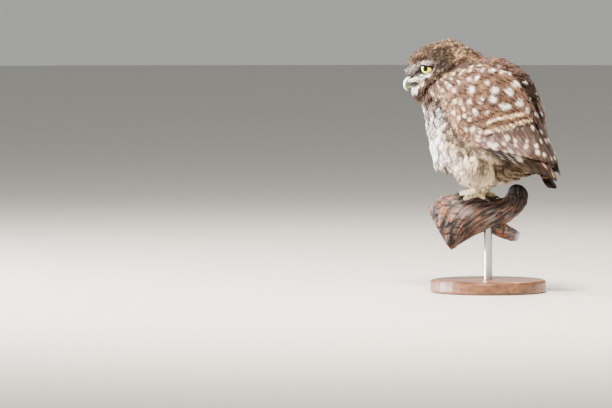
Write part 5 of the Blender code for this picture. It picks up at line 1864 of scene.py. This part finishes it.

# %% [markdown]
# ## The bill
# The horn of the upper bill is a hook with a keeled ridge, pale along the top, where a painted highlight
# lies on the pale horn, with sides partly darkened as painted shade, and greenish yellow towards the tip,
# and the lower bill closes into it along the line of the mouth. Both are lofts through sections, as in the
# solids, with many more of them.

# %% Bill
# Each section: forward and up in the face's frame, half width and half height, in millimetres
UPPER_BILL = np.array((
    (25.5, -12.2, 4.2, 3.9), (29.6, -12.6, 3.9, 3.8), (32.0, -14.6, 3.2, 3.3), (32.8, -17.4, 2.2, 2.5),
    (32.4, -19.8, 1.2, 1.5), (31.6, -21.9, 0.15, 0.2),
)) / 1000
LOWER_BILL = np.array((
    (17.0, -16.0, 4.0, 3.0), (25.0, -16.1, 3.7, 3.0), (28.6, -16.5, 3.0, 2.6), (30.2, -17.3, 2.0, 1.9),
    (30.9, -18.8, 0.5, 0.6),
)) / 1000

# The sides are dark grey-green, partly the horn's colour and partly painted shade. The ridge has a painted
# highlight on pale horn, bluish white going yellow towards the tip
BILL_SIDE, BILL_SIDE_TIP = linear("4c5347"), linear("a9a74e")
BILL_RIDGE_HIGHLIGHT, BILL_RIDGE_HIGHLIGHT_TIP = linear("d3e2e4"), linear("e4e09a")
BILL_UNDER = {"bill_upper": linear("4a4c30"), "bill_lower": linear("86883f")}
# Painted shade in the openings of the nostrils
NOSTRIL_SHADE = linear("1b1712")
NOSTRIL = (0.0030, 0.0298, -0.0104)
NOSTRIL_DEPTH = 0.0006

# Horn is smooth with faint growth streaks, and its thin clear layer gives a soft gloss
bill_finish = grained_material(
    "keratin_bill", grain=(900.0, 4.0, 0.5), tones=(0.80, 1.15), relief=(0.15, 0.0001),
    Roughness=0.35, Coat_Weight=0.2
)


def bill_half(name, sections, stations, node, keel):
    """A loft through the sections, keeled along its ridge. The upper half also has the nostrils."""
    rows = through(sections, np.linspace(0, len(sections) - 1, stations))
    forward, height, half_width, half_height = rows.T
    line = np.stack((np.zeros(stations), forward, height), -1)
    along = unit(np.gradient(line, axis=0))
    over = np.stack((np.zeros(stations), -along[:, 2], along[:, 1]), -1)
    turn = np.linspace(0, 2 * math.pi, 40, endpoint=False)
    ridge = 1 + keel * np.maximum(np.cos(turn), 0) ** 8
    across = half_width[:, None] * np.sin(turn) * (1 - 0.18 * keel * np.maximum(np.cos(turn), 0) ** 2)
    up = half_height[:, None] * np.cos(turn) * ridge
    local = line[:, None, :] + over[:, None, :] * up[..., None]
    local[..., 0] += across
    rings = from_face(local[..., 0], local[..., 1], local[..., 2])
    top = np.cos(turn)[None, :] * np.ones((stations, 1))
    reach = np.linspace(0, 1, stations)[:, None] * np.ones_like(top)
    side_tone = mix(BILL_SIDE, BILL_SIDE_TIP, smooth(0.50, 0.95, reach))
    # A painted highlight along the upper bill's ridge, on its pale horn
    ridge_highlight = smooth(0.62, 0.90, top) if node == "bill_upper" else 0.0 * top
    colour = mix(side_tone, mix(BILL_RIDGE_HIGHLIGHT, BILL_RIDGE_HIGHLIGHT_TIP, smooth(0.55, 0.90, reach)), ridge_highlight)
    colour = mix(colour, BILL_UNDER[node], smooth(-0.2, -0.8, top) * 0.7)
    if node == "bill_upper":
        for _, side in SIDES:
            away = np.linalg.norm(rings - from_face(side * NOSTRIL[0], *NOSTRIL[1:]), axis=-1)
            # The nostrils are painted dark as shade in their openings, and sunk a little
            colour = mix(colour, NOSTRIL_SHADE, 1 - smooth(0.0005, 0.0011, away))
            sunk = NOSTRIL_DEPTH * np.exp(-(away / 0.0007) ** 2)
            rings = rings - unit(rings - rings.mean(1, keepdims=True)) * sunk[..., None]
    colour = colour.reshape(-1, 3)
    colour = np.concatenate((colour, colour[:1], colour[-1:]))
    return settle(closed_loft(name, rings, bill_finish, {"plumage": colour}), "bill_horn", node)


bill_half("upper_bill_horn", UPPER_BILL, stations=34, node="bill_upper", keel=0.12)
bill_half("lower_bill_horn", LOWER_BILL, stations=22, node="bill_lower", keel=0.0)
print("bill made")

# %% [markdown]
# Fine dark bristles stand round the root of the bill, and flatter white ones lie over its corner.
# Each is one closed curved strand that starts on the skin and sweeps forwards and down.

# %% Bristles
BRISTLES, CORNER_BRISTLES, WHITE_FEATHERS = 70, 90, 200
BRISTLE_TONES = (linear("8f8b87"), linear("2a2420"))
CORNER_TONES = (linear("15100e"), linear("3a332e"))


def whisker(start, aim_at, length, radius, flatness, root_tone, tip_tone):
    """One closed strand that leaves the skin at the point nearest to the start."""
    near, out = SKIN_TREE.find_nearest(Vector(start))[:2]
    start, out = np.array(near), np.array(out)
    ahead = unit(aim_at - start)
    t = np.array((0.0, 0.35, 0.7, 1.0))
    line = start + out * (0.0016 * np.sin(t * 2.2))[:, None] + ahead * (length * t)[:, None]
    line[:, 2] -= 0.0012 * t ** 2
    sideways = unit(np.cross(ahead, out))
    girth = radius * (1 - 0.75 * t ** 1.5)
    points = []
    for row in range(3):
        for k in range(3):
            turn = 2 * math.pi * k / 3 + math.pi / 2
            corner = sideways * math.cos(turn) + out * math.sin(turn) * flatness
            points.append(line[row] + corner * girth[row])
    points.append(line[3])
    local = np.stack((np.repeat(t, (3, 3, 3, 1)), np.zeros(10), np.zeros(10)), -1)
    colour = mix(root_tone, tip_tone, smooth(0.2, 0.8, local[:, 0]))
    return np.array(points), np.array(strand_faces(0, 3)), colour, root_uv(start[None])[0], local


def whiskers():
    """Dark bristles above the bill, short black ones at its corner, and white feathers over it."""
    rng = np.random.default_rng(5)
    uniform = rng.uniform
    for index in range(BRISTLES):
        side = 1 if index % 2 else -1
        start = from_face(side * uniform(0.0018, 0.0075), uniform(0.0265, 0.0300), uniform(-0.0095, 0.0010))
        aim_at = from_face(side * uniform(0.001, 0.0055), 0.0375, uniform(-0.017, -0.008))
        yield whisker(start, aim_at, uniform(0.0035, 0.007), 0.00013, 1.0, *BRISTLE_TONES)
    for index in range(CORNER_BRISTLES):
        side = 1 if index % 2 else -1
        start = from_face(side * uniform(0.0012, 0.0068), uniform(0.0262, 0.0305), uniform(-0.0090, -0.0072))
        aim_at = from_face(side * uniform(0.001, 0.0065), 0.0335, -0.0135)
        yield whisker(start, aim_at, uniform(0.0018, 0.0030), 0.00022, 1.0, *CORNER_TONES)
    for index in range(WHITE_FEATHERS):
        side = 1 if index % 2 else -1
        share = uniform()
        height = -0.0088 - 0.0019 * uniform()
        start = from_face(side * (0.0085 - 0.0046 * share), 0.0225 + 0.0050 * share, height)
        aim_at = from_face(side * (0.0058 - 0.0018 * share), 0.0290 + 0.0035 * share, height - 0.0012)
        tone = WHITE * uniform(0.75, 1.0)
        yield whisker(start, aim_at, uniform(0.0045, 0.0072), 0.00042, 0.5, tone * 0.8, tone)


joined(whiskers(), DOWN, "bill_bristles", "head_feathers")

# %% [markdown]
# ## Claws
# The claws are the solids' own, with their loose triangles merged, subdivided twice and given a dark
# horn with paler grey clouds in it, as scuffed claws have.

# %% Claws
claw_finish, tree, shader = new_material("dark_claw_horn")
tone = ramp_node(tree, object_noise(tree, 700.0, 3.0), ((0.30, "1c1917"), (0.75, "5d5650")))
tree.links.new(tone.outputs["Color"], shader.inputs["Base Color"])
set_shader(shader, Roughness=0.32)
for name in sorted(nodes):
    if name.startswith("claw_"):
        smooth_claw = bpy.data.objects.new("horn_" + name, merged_copy((name,), GROWTH))
        SCENE.objects.link(smooth_claw)
        finer = smooth_claw.modifiers.new("finer", "SUBSURF")
        finer.levels = finer.render_levels = 2
        applied(smooth_claw)
        smooth_claw.data.shade_smooth()
        smooth_claw.data.materials.append(claw_finish)
        settle(smooth_claw, "claw_horn", name)
print("claws made")

# %% [markdown]
# ## The branch
# Weathered wood twists: long ridges wind along it, with hollows between them, broken bark in knobs
# at one end and a worn round tip. The branch is a loft along the solid's own centre line, with far
# more points, whose surface is pushed in and out by ridges and noise. It stays at the solid's height
# where the toes stand.

# %% Branch
PERCH_TURN = math.radians(120)
# Points of the centre lines as x, y and z before the turn, and the radius there
PERCH_LINE = np.array((
    (-0.0360, 0.0000, -0.0330, 0.0225), (-0.0240, -0.0010, -0.0265, 0.0217),
    (-0.0080, -0.0030, -0.0202, 0.0192), (0.0080, -0.0040, -0.0170, 0.0160),
    (0.0220, -0.0030, -0.0148, 0.0123), (0.0315, -0.0015, -0.0100, 0.0107),
    (0.0370, 0.0000, -0.0030, 0.0103), (0.0385, 0.0010, 0.0035, 0.0092),
))
STUB_LINE = np.array((
    (0.0110, -0.0025, -0.0240, 0.0085), (0.0210, -0.0035, -0.0320, 0.0075),
    (0.0300, -0.0030, -0.0365, 0.0064), (0.0380, -0.0015, -0.0395, 0.0050),
))
# Knobs of the solid: place along the line, angle, height, and spread along and round it
PERCH_KNOBS = (
    (0.9, 0.35, 0.0055, 0.42, 0.45), (1.5, -0.10, 0.0030, 0.30, 0.40), (0.4, -0.80, 0.0045, 0.40, 0.40),
    (3.0, 1.70, 0.0020, 0.50, 0.35),
)
FEET_PLACE = 2.55
BROKEN_PLACE = 0.7
BARK_DARK, BARK_GREY, BARK_RED, BARK_RUST, BARK_ORANGE = (
    linear(tone) for tone in ("2c2223", "7c6f6b", "5e3f30", "a05a34", "8f5c37")
)
# Painted shade for the cracks, then the dark of the upper end and the black of its top
PAINTED_CRACK_SHADE, UPPER_END_DARK, TIP_BLACK = linear("0f0a0a"), linear("120c0d"), linear("0a0708")
CUT_PALE, CUT_RING, CUT_CHECK, CUT_RIM = (linear(tone) for tone in ("a98a68", "6f5139", "2c1f18", "4a382c"))
TORN_GREY = linear("c3c6d8")
ROUND_TIP = ((0.97, 0.10), (0.90, 0.22), (0.80, 0.35), (0.64, 0.50), (0.45, 0.62), (0.22, 0.69))


def branch_rings(line, stations, sides, ridge, seed, knobs, rough):
    """Rings square to the centre line, with the solid's ridges and knobs and finer ones on them.
    With them come how cracked, lumpy, broken and finely grooved each point is."""
    draw_phase = random.Random(seed)
    phases = [draw_phase.uniform(0, 2 * math.pi) for _ in range(4)]
    last = len(line) - 1
    place = last * np.arange(stations + 1) / stations
    middle = through(line, place)
    here, radius = middle[:, :3], middle[:, 3]
    ahead, before = through(line, np.minimum(place + 0.1, last)), through(line, np.maximum(place - 0.1, 0))
    along = unit(ahead[:, :3] - before[:, :3])
    over = -np.cross((0.0, 1.0, 0.0), along)
    over = unit(over) * np.where(over[:, 2:3] < 0, -1, 1)
    across = np.cross(along, over)
    angle = 2 * np.pi * np.arange(sides)[None, :] / sides
    p = place[:, None]
    wave = 0.45 * np.sin(3 * angle + 0.9 * p + phases[0]) + 0.35 * np.sin(5 * angle - 0.7 * p + phases[1])
    wave = wave + 0.25 * np.sin(8 * angle + 1.6 * p + phases[2])
    size = radius[:, None] * (1 + ridge * wave)
    for knob_place, knob_angle, knob_height, knob_length, knob_width in knobs:
        turned = ((angle - knob_angle + np.pi) % (2 * np.pi) - np.pi) / knob_width
        size = size + knob_height * np.exp(-0.5 * (turned ** 2 + ((p - knob_place) / knob_length) ** 2))
    tops = over[:, None, :] * np.cos(angle)[..., None] + across[:, None, :] * np.sin(angle)[..., None]
    surface = here[:, None, :] + tops * size[..., None]
    twist = angle + 0.10 * p + 1.9 * np.tanh(p / 3.0)
    grooves = noise(np.stack((np.cos(twist) * 6.5, np.sin(twist) * 6.5, p * 0.9 + 0 * angle), -1), seed + 1)
    fine = noise(np.stack((np.cos(twist) * 24, np.sin(twist) * 24, p * 2.2 + 0 * angle), -1), seed + 2)
    lumps = layered_noise(surface * 230, 3, seed + 3)
    cracks = 1 - smooth(0.01, 0.10, np.abs(grooves - 0.5))
    across_cracks = 1 - smooth(0.0, 0.10, np.abs(noise(surface * 150, seed + 9) - 0.5))
    cracks = np.maximum(cracks, across_cracks * smooth(2.4, 1.2, p))
    feet = np.exp(-((place - FEET_PLACE) / 0.75) ** 2)[:, None] * smooth(0.2, 0.9, np.cos(angle))
    depth = 0.0016 * (lumps - 0.5) + 0.0010 * (fine - 0.5) - 0.0013 * cracks
    broken = np.exp(-((p - BROKEN_PLACE) / 0.8) ** 2) * smooth(0.1, 0.8, np.cos(angle - 0.2))
    depth = depth + broken * 0.0056 * (layered_noise(surface * 330, 3, seed + 5) - 0.5)
    surface = surface + tops * (depth * rough * (1 - 0.75 * feet))[..., None]
    return surface, cracks, lumps, broken * np.ones_like(lumps), fine


print("branch lines:", len(PERCH_LINE), "and", len(STUB_LINE), "points")

# %% [markdown]
# The colours follow the form: black in the cracks as painted shade, orange where the bark is broken,
# grey where the fine grain stands up and dark between it as painted light and shade, and nearly black on
# the upper end, which is dark in the photo. The cut face shows year rings, and the broken stub ends pale.

# %% Bark


def turned(points):
    """Points laid out along x, turned to where the branch stands on the perch point."""
    cos, sin = math.cos(PERCH_TURN), math.sin(PERCH_TURN)
    x, y, z = points[..., 0], points[..., 1], points[..., 2]
    return np.stack((x * cos - y * sin, x * sin + y * cos, z), -1) + PERCH_POINT


def bark_colour(points, cracks, lumps, broken, fine):
    """Grey-brown wood, rust-red stains and orange broken bark, with painted shade black in the cracks and
    dark in the low grain and between the lumps, painted light on the raised grain, and black on the upper
    end."""
    stain = layered_noise(points * 70, 3, 131)
    rust = layered_noise(points * 200, 3, 137)
    # Grey where the fine grain stands up and dark in its grooves: painted light and shade
    colour = mix(BARK_DARK, BARK_GREY, smooth(0.32, 0.70, fine))
    colour = mix(colour, BARK_RED, smooth(0.48, 0.66, stain) * 0.6)
    colour = mix(colour, BARK_RUST, smooth(0.60, 0.74, rust) * 0.55)
    colour = mix(colour, BARK_ORANGE, broken * smooth(0.46, 0.66, lumps) * 0.85)
    # Painted shade: black in the cracks
    colour = mix(colour, PAINTED_CRACK_SHADE, cracks * 0.95)
    above = above_perch(points)
    upper_end = behind_perch(points) + 0.4 * above
    colour = mix(colour, UPPER_END_DARK, smooth(0.022, 0.037, upper_end) * 0.80)
    colour = mix(colour, TIP_BLACK, smooth(0.014, 0.020, upper_end) * smooth(-0.002, 0.006, above) * 0.95)
    # Lighter on the lumps and darker between them: painted light and shade
    return colour * (0.55 + 0.75 * lumps)[..., None]


# Dead wood is dull and rough, so it has strong grain and relief and no shine
bark = grained_material(
    "weathered_dead_wood", grain=(900.0, 5.0, 0.65), tones=(0.5, 1.35), relief=(0.6, 0.0005), Roughness=0.8
)


def rounded_tip(surface, fields, line):
    """The rings and the fields of a branch, with more rings that close its end as a round tip."""
    end, radius = line[-1, :3], line[-1, 3]
    caps = [end + (surface[-1] - end) * share + UP * (radius * rise) for share, rise in ROUND_TIP]
    fields = [np.concatenate((field, np.repeat(field[-1:], len(caps), axis=0))) for field in fields]
    return np.concatenate((surface, np.array(caps))), fields


def sawn_face(ring):
    """Rings from the middle of a cut out to its rim, with year rings and checks as their colours."""
    sides = len(ring)
    middle = ring.mean(0)
    inner = np.linspace(0.03, 0.97, 34)[:, None]
    face = middle + (ring - middle) * inner[..., None]
    year = 0.5 + 0.5 * np.sin(inner * 62 + 3 * noise(face * 160, 151) + 2 * noise(face * 600, 153))
    colour = mix(CUT_PALE, CUT_RING, smooth(0.35, 0.85, year))
    turn = np.linspace(0, 2 * np.pi, sides, endpoint=False)
    rays = np.stack(np.broadcast_arrays(np.cos(turn) * 5, np.sin(turn) * 5, inner * 1.5), -1)
    colour = mix(colour, CUT_CHECK, smooth(0.80, 0.95, noise(rays, 157)) * 0.8)
    return face, mix(colour, CUT_RIM, smooth(0.90, 0.97, inner * np.ones((1, sides))))


def branch_piece(name, line, stations, sides, ridge, seed, knobs, rough, whole):
    """The whole branch ends in a sawn face and a round tip, and the stub is torn and pale."""
    surface, *fields = branch_rings(line, stations, sides, ridge, seed, knobs, rough)
    if whole:
        surface, fields = rounded_tip(surface, fields, line)
    rings = turned(surface)
    colour = bark_colour(rings, *fields)
    if whole:
        face, cut = sawn_face(rings[0])
        rings, colour = np.concatenate((face, rings)), np.concatenate((cut, colour))
    else:
        _, lumps, _, fine = fields
        torn = smooth(0.80, 0.92, np.linspace(0, 1, stations + 1))[:, None] * np.ones((1, sides))
        colour = mix(colour, TORN_GREY, torn * smooth(0.25, 0.6, fine + 0.3 * lumps))
    end = colour[-1, 0] if whole else TORN_GREY
    colour = np.concatenate((colour.reshape(-1, 3), colour[0, :1], end[None]))
    return closed_loft(name, rings, bark, {"plumage": colour})


branch = branch_piece(
    "branch_wood", PERCH_LINE, stations=170, sides=170, ridge=0.055, seed=3, knobs=PERCH_KNOBS,
    rough=1.0, whole=True
)
settle(branch, "weathered_wood", "stand_perch")
stub = branch_piece(
    "branch_stub_wood", STUB_LINE, stations=60, sides=72, ridge=0.06, seed=5, knobs=(), rough=0.6, whole=False
)
settle(stub, "weathered_wood")
print("branch:", len(branch.data.polygons), "triangles")

# %% [markdown]
# ## The stand
# The rod and the base keep their solids. The rod is brushed steel, whose fine scratches run round
# it, and the base is turned and waxed beech stained dark, with rings where the tool passed.

# %% Stand finishes
BEECH_STRETCH = (1.0, 0.12, 1.0)
steel, tree, shader = new_material("brushed_steel")
scratches = object_noise(tree, 1.0, 3.0, stretch=(60.0, 60.0, 4000.0))
rough = add_node(tree, "ShaderNodeMapRange", Value=scratches, To_Min=0.22, To_Max=0.42)
tree.links.new(rough.outputs["Result"], shader.inputs["Roughness"])
tone = ramp_node(tree, scratches, ((0.3, "a9aaac"), (0.7, "c6c7c9")))
tree.links.new(tone.outputs["Color"], shader.inputs["Base Color"])
set_shader(shader, Metallic=1.0)

beech, tree, shader = new_material("waxed_turned_beech")
figure = object_noise(tree, 220.0, 5.0, 0.6, BEECH_STRETCH)
flecks = object_noise(tree, 1500.0, 2.0, 0.5, BEECH_STRETCH)
grain = ramp_node(tree, figure, ((0.32, "4a2c1a"), (0.50, "6b4428"), (0.68, "875a36")))
fleck = ramp_node(tree, flecks, ((0.35, "b9a58f"), (0.55, "ffffff")))
timber = multiplied(tree, grain.outputs["Color"], fleck.outputs["Color"], 0.5)
tree.links.new(timber, shader.inputs["Base Color"])
bumped(tree, shader, figure, 0.12, 0.0003)
set_shader(shader, Roughness=0.38, Coat_Weight=0.25, Coat_Roughness=0.2)
for name, finish in (("stand_rod", steel), ("stand_base", beech)):
    for slot in nodes[name].material_slots:
        slot.material = finish
    if not nodes[name].material_slots:
        nodes[name].data.materials.append(finish)
print("stand finished")
